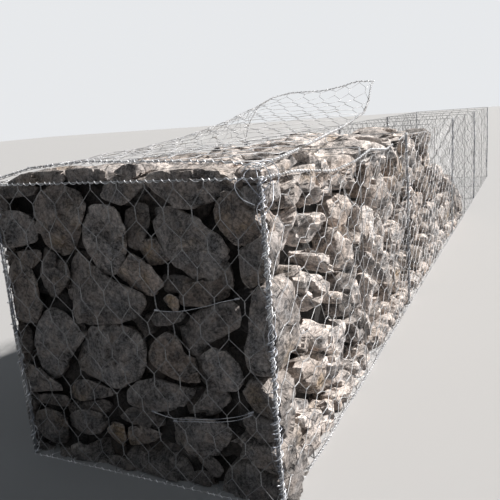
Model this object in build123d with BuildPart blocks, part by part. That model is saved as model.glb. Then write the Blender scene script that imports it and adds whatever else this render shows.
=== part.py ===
"""Gabion wall: a row of wire-netting baskets, the near ones packed with broken stone.

The row runs along X. The long front face looks to -Y, the near end face to -X, and Z is up.
The origin is at the bottom centre of everything that stands. All sizes are in millimetres.

Each basket has a base, a front, a back, a lid, two ends and a diaphragm across its middle.
Every panel is hexagonal netting inside a selvedge wire, and laced edges join the panels.
The near basket's lid is closed over its stones, with its far end still lifted, and the other
lids hang open behind the wall. The stones of each cell are one mass of fill.
"""

from build123d import *
from math import asin, cos, degrees, radians, sin
import os

os.makedirs("parts", exist_ok=True)

# Baskets
BASKETS = 4
BASKET_LENGTH = 2000.0
BASKET_WIDTH = 1000.0
BASKET_HEIGHT = 1000.0

# Wires and clearances
SELVEDGE = 4.0
MESH_WIRE = 3.0
LACING = 12.0
SEAT = 0.3

# Netting: the true mesh is the distance between two twists of the hexagons
TRUE_MESH = 100.0
WIDE_MESH = 400.0
TWIST_SHARE = 0.42
ROW_SHARE = 0.92
SPARE_COLUMN = 0.4

# Fill of the packed cells
FULL_CELLS = 3
CROWN_RISE = 45.0
SHOULDER_RADIUS = 95.0
CORNER_CHAMFER = 24.0

# Fill of the cells still being packed: heights at the near end, the middle and the far end
PART_FILLS = ((760.0, 700.0, 560.0), (500.0, 340.0, 150.0))

# Lifted far end of the near basket's lid
LID_FRONT_INSET = 25.0
LID_SHOULDER = 70.0
LID_FOLD = 1450.0
LID_FOLD_PULL = 110.0
LID_LIFT = 235.0
LID_PULL_BACK = 150.0
LID_REAR_BULGE = 90.0
LID_DRAPE_THICKNESS = 5.0

# Open lids: how far the free edge stands off behind the back
LID_LEAN = 35.0

# Places worked out from the sizes above
row_length = BASKETS * BASKET_LENGTH
cell_length = BASKET_LENGTH / 2
lid_angle = degrees(asin(LID_LEAN / BASKET_HEIGHT))
hung_lid_drop = BASKET_HEIGHT - SELVEDGE
hung_lid_reach = SEAT + hung_lid_drop * sin(radians(lid_angle)) + SELVEDGE * cos(radians(lid_angle))
front_y = -(BASKET_WIDTH + hung_lid_reach) / 2
back_y = front_y + BASKET_WIDTH
middle_y = (front_y + back_y) / 2
wall_bottom = SELVEDGE
wall_height = BASKET_HEIGHT - wall_bottom
wall_middle_z = wall_bottom + wall_height / 2
crown_height = BASKET_HEIGHT + CROWN_RISE
lid_rest_z = crown_height + SEAT
fill_width = BASKET_WIDTH - 2 * (SELVEDGE + SEAT)

nodes = []


def keep(part, name):
    """Label a finished piece and write it to its own file."""
    part.label = name
    export_step(part, f"parts/{name}.step")
    nodes.append(part)


def mesh_outline(pitch, twist, rise):
    """Corners of one opening of the netting: a hexagon with its twists along Y."""
    half = (pitch - MESH_WIRE) / 2
    shoulder = twist / 2
    return [
        (half, shoulder),
        (0, shoulder + rise),
        (-half, shoulder),
        (-half, -shoulder),
        (0, -shoulder - rise),
        (half, -shoulder),
    ]


def mesh_openings(length, height, mesh):
    """Openings of the netting inside a selvedge, in whole columns and rows of hexagons."""
    window_length = length - 2 * SELVEDGE
    window_height = height - 2 * SELVEDGE
    columns = max(2, round(window_length / mesh + SPARE_COLUMN))
    pitch = window_length / columns
    twist = TWIST_SHARE * pitch
    rows = 1 + round((window_height - twist) / (ROW_SHARE * pitch))
    row_step = (window_height - twist) / (rows - 1)
    rise = row_step - twist - MESH_WIRE / 2
    centres = []
    for row in range(rows):
        staggered = row % 2
        for column in range(columns + staggered):
            centre_x = (column - (columns + staggered - 1) / 2) * pitch
            centre_y = (row - (rows - 1) / 2) * row_step
            centres.append((centre_x, centre_y))
    with BuildSketch() as openings:
        with Locations(*centres):
            Polygon(*mesh_outline(pitch, twist, rise), align=None)
        Rectangle(window_length, window_height, mode=Mode.INTERSECT)
    return openings.sketch


def net_panel(name, plane, length, height, mesh):
    """One flat panel: a selvedge frame with netting in it, drawn on its own plane."""
    with BuildPart() as panel:
        with BuildSketch(plane):
            Rectangle(length, height)
            add(mesh_openings(length, height, mesh), mode=Mode.SUBTRACT)
        extrude(amount=SELVEDGE)
    keep(panel.part, name)


def facet(corners):
    """One flat facet of a draped sheet, as thick as the netting, measured upright."""
    extrude(Face(Wire.make_polygon(corners)), amount=LID_DRAPE_THICKNESS, dir=(0, 0, 1))


def draped_lid(name, start_x, end_x):
    """Lid closed over the crowned stones, its far end lifted clear of them."""
    front = front_y + LID_FRONT_INSET
    shoulder = back_y - LID_SHOULDER
    fold = start_x + LID_FOLD
    lifted_z = lid_rest_z + LID_LIFT
    hinge_z = BASKET_HEIGHT + SEAT
    near_front = (start_x, front, lid_rest_z)
    near_shoulder = (start_x, shoulder, lid_rest_z)
    near_hinge = (start_x, back_y, hinge_z)
    fold_front = (fold, front + LID_FOLD_PULL, lid_rest_z)
    fold_shoulder = (fold, shoulder, lid_rest_z)
    fold_hinge = (fold, back_y, hinge_z)
    far_front = (end_x, front + LID_PULL_BACK, lifted_z)
    far_shoulder = (end_x, shoulder - LID_REAR_BULGE, lifted_z)
    far_hinge = (end_x, back_y, hinge_z)
    middle = ((start_x + end_x) / 2, (front + back_y) / 2)
    with BuildPart() as lid:
        facet([near_front, fold_front, fold_shoulder, near_shoulder])
        facet([near_shoulder, fold_shoulder, fold_hinge, near_hinge])
        facet([fold_front, far_front, far_shoulder, fold_shoulder])
        facet([fold_shoulder, far_shoulder, fold_hinge])
        facet([fold_hinge, far_shoulder, far_hinge])
        with BuildSketch(Plane((*middle, lifted_z + LID_DRAPE_THICKNESS))):
            add(mesh_openings(end_x - start_x, back_y - front, WIDE_MESH))
            with BuildLine():
                Polyline(
                    (start_x + SELVEDGE - middle[0], front + SELVEDGE - middle[1]),
                    (fold - middle[0], front + LID_FOLD_PULL + SELVEDGE - middle[1]),
                    (end_x - SELVEDGE - middle[0], front + LID_PULL_BACK + SELVEDGE - middle[1]),
                    (end_x - SELVEDGE - middle[0], back_y - SELVEDGE - middle[1]),
                    (start_x + SELVEDGE - middle[0], back_y - SELVEDGE - middle[1]),
                    close=True,
                )
            make_face(mode=Mode.INTERSECT)
        extrude(amount=-(lifted_z + LID_DRAPE_THICKNESS - BASKET_HEIGHT), mode=Mode.SUBTRACT)
    keep(lid.part, name)


def laced_edge(name, centre_x, centre_y):
    """Upright bundle of lacing where panels meet, standing on the base selvedge."""
    with BuildPart() as edge:
        with BuildSketch(Plane((centre_x, centre_y, wall_bottom))):
            RegularPolygon(LACING / 2, side_count=8, major_radius=False, rotation=180 / 8)
        extrude(amount=wall_height)
    keep(edge.part, name)


def full_fill(name, start_x, end_x):
    """Stones of a packed cell, heaped a little over the top of the basket."""
    fill_height = crown_height - wall_bottom
    section_plane = Plane((start_x, middle_y, wall_bottom), x_dir=(0, 1, 0), z_dir=(1, 0, 0))
    with BuildPart() as fill:
        with BuildSketch(section_plane) as section:
            Rectangle(fill_width, fill_height, align=(Align.CENTER, Align.MIN))
            fillet(section.vertices().group_by(Axis.Y)[-1], SHOULDER_RADIUS)
        extrude(amount=end_x - start_x)
        chamfer(fill.edges().filter_by(Axis.Z), CORNER_CHAMFER)
    keep(fill.part, name)


def part_fill(name, start_x, end_x, heights):
    """Stones of a cell still being packed, its top falling away along the row."""
    near_height, middle_height, far_height = heights
    middle_x = (start_x + end_x) / 2
    section_plane = Plane((0, middle_y + fill_width / 2, 0), x_dir=(1, 0, 0), z_dir=(0, -1, 0))
    with BuildPart() as fill:
        with BuildSketch(section_plane):
            with BuildLine():
                Polyline(
                    (start_x, wall_bottom),
                    (end_x, wall_bottom),
                    (end_x, far_height),
                    (middle_x, middle_height),
                    (start_x, near_height),
                    close=True,
                )
            make_face()
        extrude(amount=fill_width)
        chamfer(fill.edges().filter_by(Axis.Z), CORNER_CHAMFER)
    keep(fill.part, name)


for number in range(BASKETS):
    near_x = number * BASKET_LENGTH - row_length / 2 + SEAT
    far_x = near_x + BASKET_LENGTH - 2 * SEAT
    middle_x = (near_x + far_x) / 2
    title = f"basket_{number + 1}"
    near_trim = LACING if number == 0 else LACING / 2
    far_trim = LACING if number == BASKETS - 1 else LACING / 2
    side_length = far_x - near_x - near_trim - far_trim
    side_x = middle_x + (near_trim - far_trim) / 2
    end_width = BASKET_WIDTH - 2 * (LACING + SEAT)
    cross_width = BASKET_WIDTH - 2 * (SELVEDGE + SEAT)

    base_plane = Plane((middle_x, middle_y, 0))
    net_panel(f"{title}_base", base_plane, far_x - near_x, BASKET_WIDTH, WIDE_MESH)

    front_plane = Plane((side_x, front_y + SELVEDGE, wall_middle_z), x_dir=(1, 0, 0), z_dir=(0, -1, 0))
    net_panel(f"{title}_front", front_plane, side_length, wall_height, WIDE_MESH)

    back_plane = Plane((side_x, back_y, wall_middle_z), x_dir=(1, 0, 0), z_dir=(0, -1, 0))
    net_panel(f"{title}_back", back_plane, side_length, wall_height, WIDE_MESH)

    near_plane = Plane((near_x, middle_y, wall_middle_z), x_dir=(0, 1, 0), z_dir=(1, 0, 0))
    near_mesh = TRUE_MESH if number == 0 else WIDE_MESH
    net_panel(f"{title}_near_end", near_plane, end_width, wall_height, near_mesh)

    far_plane = Plane((far_x - SELVEDGE, middle_y, wall_middle_z), x_dir=(0, 1, 0), z_dir=(1, 0, 0))
    net_panel(f"{title}_far_end", far_plane, end_width, wall_height, WIDE_MESH)

    cross_plane = Plane((middle_x - SELVEDGE / 2, middle_y, wall_middle_z), x_dir=(0, 1, 0), z_dir=(1, 0, 0))
    net_panel(f"{title}_diaphragm", cross_plane, cross_width, wall_height, WIDE_MESH)

    if number == 0:
        draped_lid(f"{title}_lid", near_x, far_x)
    else:
        turn = radians(lid_angle)
        hung_y = back_y + SEAT + sin(turn) * hung_lid_drop / 2
        hung_z = BASKET_HEIGHT - cos(turn) * hung_lid_drop / 2
        hung_plane = Plane((middle_x, hung_y, hung_z), x_dir=(-1, 0, 0), z_dir=(0, cos(turn), sin(turn)))
        net_panel(f"{title}_lid", hung_plane, far_x - near_x, hung_lid_drop, WIDE_MESH)

for joint in range(BASKETS + 1):
    joint_x = joint * BASKET_LENGTH - row_length / 2
    if joint == 0:
        joint_x += SEAT + LACING / 2
    if joint == BASKETS:
        joint_x -= SEAT + LACING / 2
    laced_edge(f"laced_edge_{joint + 1}_front", joint_x, front_y + LACING / 2)
    laced_edge(f"laced_edge_{joint + 1}_back", joint_x, back_y - LACING / 2)

for cell in range(FULL_CELLS + len(PART_FILLS)):
    opens_at_end = cell % 2 == 0
    wall_near = SELVEDGE + 2 * SEAT if opens_at_end else SELVEDGE / 2 + SEAT
    wall_far = SELVEDGE / 2 + SEAT if opens_at_end else SELVEDGE + 2 * SEAT
    cell_near = cell * cell_length - row_length / 2 + wall_near
    cell_far = (cell + 1) * cell_length - row_length / 2 - wall_far
    if cell < FULL_CELLS:
        full_fill(f"stone_fill_{cell + 1}", cell_near, cell_far)
    else:
        part_fill(f"stone_fill_{cell + 1}", cell_near, cell_far, PART_FILLS[cell - FULL_CELLS])

print(len(nodes), "pieces")
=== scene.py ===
"""Looks of a gabion wall: broken stone in twisted wire netting, laced edges and soft studio light."""

import logging
import math
from collections.abc import Callable
from dataclasses import dataclass, field, replace
from enum import Enum
from functools import lru_cache
from itertools import combinations

import bpy
import numpy as np
from mathutils import Matrix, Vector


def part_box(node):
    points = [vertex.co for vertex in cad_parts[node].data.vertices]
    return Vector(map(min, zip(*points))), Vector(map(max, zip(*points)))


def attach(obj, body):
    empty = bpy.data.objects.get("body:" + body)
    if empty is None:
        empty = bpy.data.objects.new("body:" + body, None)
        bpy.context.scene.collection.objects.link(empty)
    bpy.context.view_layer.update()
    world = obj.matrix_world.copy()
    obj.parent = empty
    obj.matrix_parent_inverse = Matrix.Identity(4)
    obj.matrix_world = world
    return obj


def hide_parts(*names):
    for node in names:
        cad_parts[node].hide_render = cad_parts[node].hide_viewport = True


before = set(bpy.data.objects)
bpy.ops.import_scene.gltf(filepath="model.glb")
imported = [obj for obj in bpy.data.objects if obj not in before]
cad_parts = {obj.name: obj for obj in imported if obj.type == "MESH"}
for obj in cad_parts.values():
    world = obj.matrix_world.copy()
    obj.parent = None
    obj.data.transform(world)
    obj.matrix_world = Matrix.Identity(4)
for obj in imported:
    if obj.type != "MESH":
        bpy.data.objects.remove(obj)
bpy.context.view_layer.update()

Array = np.ndarray
Shape = tuple[Array, list[Array]]
Triple = tuple[float, float, float]
Outline = tuple[tuple[float, float], ...]
log = logging.getLogger("gabion_wall")

X_AXIS, Y_AXIS, Z_AXIS = np.eye(3)
FULL_TURN = 2.0 * math.pi


# Numbers and noise

LATTICE_KEYS = np.array([73856093, 19349663, 83492791])
SEED_KEY = 2654435761
KEY_MIXERS = ((13, 1274126177), (15, 2246822519))
KEY_MASK = 0xFFFFFFFF
HALF_KEY_RANGE = 8388607.5


def unit(vectors: Array) -> Array:
    """Vectors brought to length one."""
    return vectors / np.maximum(np.linalg.norm(vectors, axis=-1, keepdims=True), 1e-12)


def metres(millimetres: tuple) -> Array:
    """Lengths in metres, from millimetres."""
    return np.array(millimetres) / 1000.0


def ease(share: Array) -> Array:
    """A share from 0 to 1 with a soft start and end."""
    share = np.clip(share, 0.0, 1.0)
    return share * share * (3.0 - 2.0 * share)


def lattice_noise(points: Array, scale: float, seed: int) -> Array:
    """Smooth noise over space, from -1 to 1.

    Args:
        points: Places in metres, with x, y and z last.
        scale: Size of one swell of the noise, in metres.
        seed: Which of many noises to take.

    Returns:
        A value for each place.
    """
    cell = points / scale
    corner = np.floor(cell).astype(np.int64)
    share = ease(cell - corner)
    total = np.zeros(points.shape[:-1])
    for step in np.ndindex(2, 2, 2):
        weight = np.prod(np.where(step, share, 1.0 - share), axis=-1)
        key = (corner + step) @ LATTICE_KEYS + seed * SEED_KEY
        for shift, factor in KEY_MIXERS:
            key = (key ^ (key >> shift)) * factor & KEY_MASK
        total += weight * ((key >> 8) / HALF_KEY_RANGE - 1.0)
    return total


@lru_cache(maxsize=None)
def ball(parts: int) -> tuple[Array, Array]:
    """A ball of even triangles: the directions of its points, and three points for each triangle."""
    golden = (1.0 + math.sqrt(5.0)) / 2.0
    corners = []
    for first in (-1.0, 1.0):
        for second in (-golden, golden):
            corners += [(0.0, first, second), (first, second, 0.0), (second, 0.0, first)]
    corners = unit(np.array(corners))
    beside = corners @ corners.T > 0.4
    directions = []
    triangles = []
    for a, b, c in combinations(range(len(corners)), 3):
        if not (beside[a, b] and beside[b, c] and beside[a, c]):
            continue
        outward = np.dot(np.cross(corners[b] - corners[a], corners[c] - corners[a]), corners[a]) > 0
        first, second, third = corners[[a, b, c] if outward else [a, c, b]]
        grid = {}
        for i in range(parts + 1):
            for j in range(parts + 1 - i):
                grid[i, j] = len(directions)
                directions.append(first * (parts - i - j) + second * i + third * j)
        for i in range(parts):
            for j in range(parts - i):
                triangles.append((grid[i, j], grid[i + 1, j], grid[i, j + 1]))
                if i + j < parts - 1:
                    triangles.append((grid[i + 1, j], grid[i + 1, j + 1], grid[i, j + 1]))
    directions = unit(np.array(directions))
    _, kept, merged = np.unique(np.round(directions, 5), axis=0, return_index=True, return_inverse=True)
    return directions[kept], merged.reshape(-1)[np.array(triangles)]


# Meshes


@dataclass
class JoinedMesh:
    """Many small shapes gathered into one mesh, each with a tone and a warmth for its finish."""

    points: list[Array] = field(default_factory=list)
    faces: list[Array] = field(default_factory=list)
    tones: list[Array] = field(default_factory=list)
    warmths: list[Array] = field(default_factory=list)
    count: int = 0

    def add(self, shape: Shape, tone: float = 0.5, warmth: float = 0.5) -> None:
        """Add one shape.

        Args:
            shape: Its points, and lists of faces with a like number of corners each.
            tone: How light it is, from 0 to 1.
            warmth: How brown it is, from 0 to 1.
        """
        points, faces = shape
        points = points.reshape(-1, 3)
        self.points.append(points)
        self.faces += [corners + self.count for corners in faces]
        self.tones.append(np.full(len(points), tone))
        self.warmths.append(np.full(len(points), warmth))
        self.count += len(points)

    def build(self, name: str, material: bpy.types.Material, crease: float | None) -> bpy.types.Object:
        """Make the object, smooth shaded, at the origin of the frame.

        Args:
            name: The piece's name.
            material: The finish of the whole piece.
            crease: The angle in degrees past which an edge stays sharp, or None for none.

        Returns:
            The new object.
        """
        mesh = bpy.data.meshes.new(name)
        points = np.concatenate(self.points)
        loops = np.concatenate([corners.ravel() for corners in self.faces])
        sizes = np.concatenate([np.full(len(corners), corners.shape[1]) for corners in self.faces])
        starts = np.concatenate([[0], np.cumsum(sizes)[:-1]])
        mesh.vertices.add(len(points))
        mesh.vertices.foreach_set("co", points.astype(np.float32).ravel())
        mesh.loops.add(len(loops))
        mesh.loops.foreach_set("vertex_index", loops.astype(np.int32))
        mesh.polygons.add(len(sizes))
        mesh.polygons.foreach_set("loop_start", starts.astype(np.int32))
        for label, values in (("tone", self.tones), ("warmth", self.warmths)):
            layer = mesh.attributes.new(label, "FLOAT", "POINT")
            layer.data.foreach_set("value", np.concatenate(values).astype(np.float32))
        mesh.update(calc_edges=True)
        mesh.validate()
        mesh.shade_smooth()
        if crease is not None:
            mesh.set_sharp_from_angle(angle=math.radians(crease))
        mesh.materials.append(material)
        piece = bpy.data.objects.new(name, mesh)
        bpy.context.scene.collection.objects.link(piece)
        return piece


def count_triangles(piece: bpy.types.Object) -> int:
    """How many triangles a piece has."""
    piece.data.calc_loop_triangles()
    return len(piece.data.loop_triangles)


def dress(
    mesh: JoinedMesh,
    name: str,
    material: bpy.types.Material,
    slot: str,
    *nodes: str,
    crease: float | None = None,
) -> bpy.types.Object:
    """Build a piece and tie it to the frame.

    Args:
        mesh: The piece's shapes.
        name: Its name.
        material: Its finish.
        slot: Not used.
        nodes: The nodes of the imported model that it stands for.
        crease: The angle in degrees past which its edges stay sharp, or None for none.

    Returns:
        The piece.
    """
    piece = mesh.build(name, material, crease)
    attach(piece, "root")
    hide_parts(*nodes)
    log.info("%s: %d triangles", name, count_triangles(piece))
    return piece


def around(angle: Array, first: Array, second: Array) -> Array:
    """Directions at an angle from a first direction towards a second one."""
    return np.cos(angle) * first + np.sin(angle) * second


def tube(paths: Array, side: Array, radius: float, sides: int) -> Shape:
    """Round wires with closed ends.

    Args:
        paths: Their centre lines: wires, points of a wire, and x, y, z.
        side: A direction across the wire at each point, or one for all.
        radius: The wires' radius in metres.
        sides: How many sides a wire's section has.

    Returns:
        The points and the faces of all the wires.
    """
    tangent = unit(np.gradient(paths, axis=1))
    first = unit(side - (side * tangent).sum(-1, keepdims=True) * tangent)
    second = np.cross(tangent, first)
    angle = FULL_TURN * np.arange(sides)[:, None] / sides
    rings = paths[:, :, None] + radius * around(angle, first[:, :, None], second[:, :, None])
    wires, length = paths.shape[:2]
    turn = np.arange(sides)
    start = (np.arange(wires)[:, None, None] * length + np.arange(length - 1)[None, :, None]) * sides
    here, beside = start + turn, start + (turn + 1) % sides
    skin = np.stack([here, beside, beside + sides, here + sides], axis=-1).reshape(-1, 4)
    first_end = np.arange(wires)[:, None] * length * sides + turn[::-1]
    last_end = (np.arange(wires)[:, None] * length + length - 1) * sides + turn
    return rings, [skin, np.concatenate([first_end, last_end])]


def run_along(path: Array) -> Array:
    """How far along a path each of its points lies, in metres."""
    return np.concatenate([[0.0], np.cumsum(np.linalg.norm(np.diff(path, axis=0), axis=1))])


def spread_evenly(path: Array, count: int) -> Array:
    """Points at even steps along a path."""
    run = run_along(path)
    places = np.linspace(0.0, run[-1], count)
    return np.stack([np.interp(places, run, path[:, axis]) for axis in range(3)], axis=-1)


def smooth_path(points: Array, count: int) -> Array:
    """A number of points at even steps on a smooth line that passes at least three given ones."""
    padded = np.concatenate([[2 * points[0] - points[1]], points, [2 * points[-1] - points[-2]]])
    share = np.linspace(0.0, 1.0, 12, endpoint=False)[:, None]
    spans = []
    for a, b, c, d in zip(padded, padded[1:], padded[2:], padded[3:]):
        bend = (2 * a - 5 * b + 4 * c - d) * share**2 + (3 * b - a - 3 * c + d) * share**3
        spans.append(b + 0.5 * ((c - a) * share + bend))
    return spread_evenly(np.concatenate([*spans, points[-1:]]), count)


def noise_line(places: Array) -> Array:
    """Places along a line as points that noise can be read at."""
    return np.stack([places, places * 0, places * 0], axis=-1)


@dataclass(frozen=True)
class Coil:
    """Wire wound round a line: its radius, the length of a turn, the wire and how uneven it is."""

    radius: float
    turn_length: float
    wire: float
    points_in_turn: int = 8
    sides: int = 4
    uneven: float = 0.15
    hurry: float = 2.2
    hurry_turns: float = 1.7
    swell_turns: float = 0.6

    def wind(self, path: Array, side: Array, phase: float, seed: int) -> Shape:
        """Wind the wire.

        Args:
            path: The line that it goes round.
            side: A direction across that line.
            phase: Where the first turn starts, in radians.
            seed: Which unevenness it has.

        Returns:
            The points and the faces of the wire.
        """
        turns = run_along(path)[-1] / self.turn_length
        line = spread_evenly(path, max(int(turns * self.points_in_turn), 6))
        place = np.linspace(0.0, turns, len(line))
        along = noise_line(place)
        hurry = self.uneven * self.hurry * lattice_noise(along, self.hurry_turns, seed)
        swell = 1.0 + self.uneven * lattice_noise(along, self.swell_turns, seed + 1)
        angle = (phase + FULL_TURN * (place + hurry))[:, None]
        tangent = unit(np.gradient(line, axis=0))
        first = unit(side - (tangent @ side)[:, None] * tangent)
        wound = line + around(angle, first, np.cross(tangent, first)) * (self.radius * swell)[:, None]
        return tube(wound[None], tangent[None], self.wire, self.sides)


# The wall's places, from the frame


@dataclass(frozen=True)
class Wall:
    """Where the row of baskets stands: X along the row, front face to -Y."""

    near_x: float
    far_x: float
    front_y: float
    back_y: float
    height: float
    baskets: int

    @classmethod
    def from_frame(cls) -> "Wall":
        """The wall's places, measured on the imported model."""
        low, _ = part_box("basket_1_base")
        baskets = sum(node.endswith("_diaphragm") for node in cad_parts)
        _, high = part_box(f"basket_{baskets}_base")
        _, front_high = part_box("basket_1_front")
        return cls(low.x, high.x, low.y, high.y, front_high.z, baskets)

    @property
    def width(self) -> float:
        """Width of a basket."""
        return self.back_y - self.front_y

    @property
    def basket_length(self) -> float:
        """Length of a basket."""
        return (self.far_x - self.near_x) / self.baskets

    @property
    def cell_length(self) -> float:
        """Length of a cell, from an end to the diaphragm."""
        return self.basket_length / 2

    def point(self, along: float, across: float, up: float) -> Array:
        """A place in the frame, from metres along the row, back from the front face, and up."""
        return np.array([self.near_x + along, self.front_y + across, up])


WALL = Wall.from_frame()


# Shader maths


class Value:
    """A socket in an expression: each operator adds the node that works it out."""

    def __init__(self, shader: "Shader", socket: bpy.types.NodeSocket) -> None:
        """Wrap a socket of a shader's tree."""
        self.shader = shader
        self.socket = socket

    def __add__(self, other: "Value | float") -> "Value":
        """Sum of two values."""
        return self.shader.maths("ADD", self, other)

    def __sub__(self, other: "Value | float") -> "Value":
        """This value less another."""
        return self.shader.maths("SUBTRACT", self, other)

    def __rsub__(self, other: float) -> "Value":
        """A number less this value."""
        return self.shader.maths("SUBTRACT", other, self)

    def __mul__(self, other: "Value | float") -> "Value":
        """Product of two values."""
        return self.shader.maths("MULTIPLY", self, other)

    def between(self, low: float, high: float) -> "Value":
        """0 below one number and 1 above another, with a soft change between them."""
        inputs = {"Value": self, "From Min": low, "From Max": high}
        return self.shader.node("ShaderNodeMapRange", inputs, interpolation_type="SMOOTHSTEP")

    def below(self, low: float, high: float) -> "Value":
        """1 below one number and 0 above another, with a soft change between them."""
        return 1.0 - self.between(low, high)


class Shader:
    """A material's node tree, built by expressions."""

    def __init__(self, name: str, tree: bpy.types.NodeTree | None = None) -> None:
        """Start an empty material, or clear a tree that is there.

        Args:
            name: The new material's name.
            tree: A tree to use in place of a new material's.
        """
        if tree is None:
            self.material = bpy.data.materials.new(name)
            self.material.use_nodes = True
            tree = self.material.node_tree
        self.tree = tree
        self.tree.nodes.clear()

    def node(
        self, kind: str, inputs: dict | None = None, output: int | str = 0, **settings: object
    ) -> Value:
        """Add a node.

        Args:
            kind: The node's type.
            inputs: A number, colour or value for each named or numbered socket.
            output: Which of its outputs to give back.
            settings: The node's own settings.

        Returns:
            The chosen output.
        """
        node = self.tree.nodes.new(kind)
        for label, setting in settings.items():
            setattr(node, label, setting)
        for label, value in (inputs or {}).items():
            if isinstance(value, Value):
                self.tree.links.new(value.socket, node.inputs[label])
            else:
                node.inputs[label].default_value = value
        return Value(self, node.outputs[output])

    def maths(self, operation: str, left: Value | float, right: Value | float) -> Value:
        """One step of sums on values."""
        return self.node("ShaderNodeMath", {0: left, 1: right}, operation=operation)

    def vectors(self, operation: str, left: Value, right: Value | tuple) -> Value:
        """One step of sums on places or colours."""
        return self.node("ShaderNodeVectorMath", {0: left, 1: right}, operation=operation)

    def scaled(self, vector: Value, factor: Value | float) -> Value:
        """A place or a colour times a number."""
        return self.node("ShaderNodeVectorMath", {0: vector, "Scale": factor}, operation="SCALE")

    def part(self, vector: Value, axis: str) -> Value:
        """One of a vector's three numbers."""
        return self.node("ShaderNodeSeparateXYZ", {"Vector": vector}, axis)

    def blend(self, share: Value, first: Value | Triple, second: Value | Triple) -> Value:
        """Mix two colours, with the share of the second one first."""
        colours = [c if isinstance(c, Value) else (*c, 1.0) for c in (first, second)]
        inputs = {0: share, 6: colours[0], 7: colours[1]}
        return self.node("ShaderNodeMix", inputs, 2, data_type="RGBA")

    def noise(
        self, places: Value, scale: float, detail: float, rough: float = 0.5, output: int | str = 0
    ) -> Value:
        """Cloudy noise at a scale given per metre."""
        inputs = {"Vector": places, "Scale": scale, "Detail": detail, "Roughness": rough}
        return self.node("ShaderNodeTexNoise", inputs, output)

    def cells(self, places: Value, scale: float, output: str = "Distance", **settings: object) -> Value:
        """Cells round scattered points, at a scale given per metre."""
        return self.node("ShaderNodeTexVoronoi", {"Vector": places, "Scale": scale}, output, **settings)

    def relief(self, *layers: tuple[Value, float, float]) -> Value:
        """Relief from layers of height, distance and strength, each on top of the one before."""
        normal = {}
        for height, distance, strength in layers:
            inputs = {"Height": height, "Distance": distance, "Strength": strength}
            bumped = self.node("ShaderNodeBump", inputs | normal)
            normal = {"Normal": bumped}
        return bumped

    def attribute(self, label: str) -> Value:
        """A value kept on the mesh."""
        return self.node("ShaderNodeAttribute", output="Fac", attribute_name=label)

    def surface(self, **inputs: object) -> bpy.types.Material:
        """Close the material with one principled surface.

        Args:
            inputs: Its sockets, with an underscore for each space.

        Returns:
            The finished material.
        """
        named = {label.replace("_", " "): value for label, value in inputs.items()}
        self.close(self.node("ShaderNodeBsdfPrincipled", named))
        return self.material

    def close(self, shaded: Value, kind: str = "ShaderNodeOutputMaterial") -> None:
        """Join a shaded value to the tree's output."""
        out = self.tree.nodes.new(kind)
        self.tree.links.new(shaded.socket, out.inputs["Surface"])


# Finishes


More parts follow.
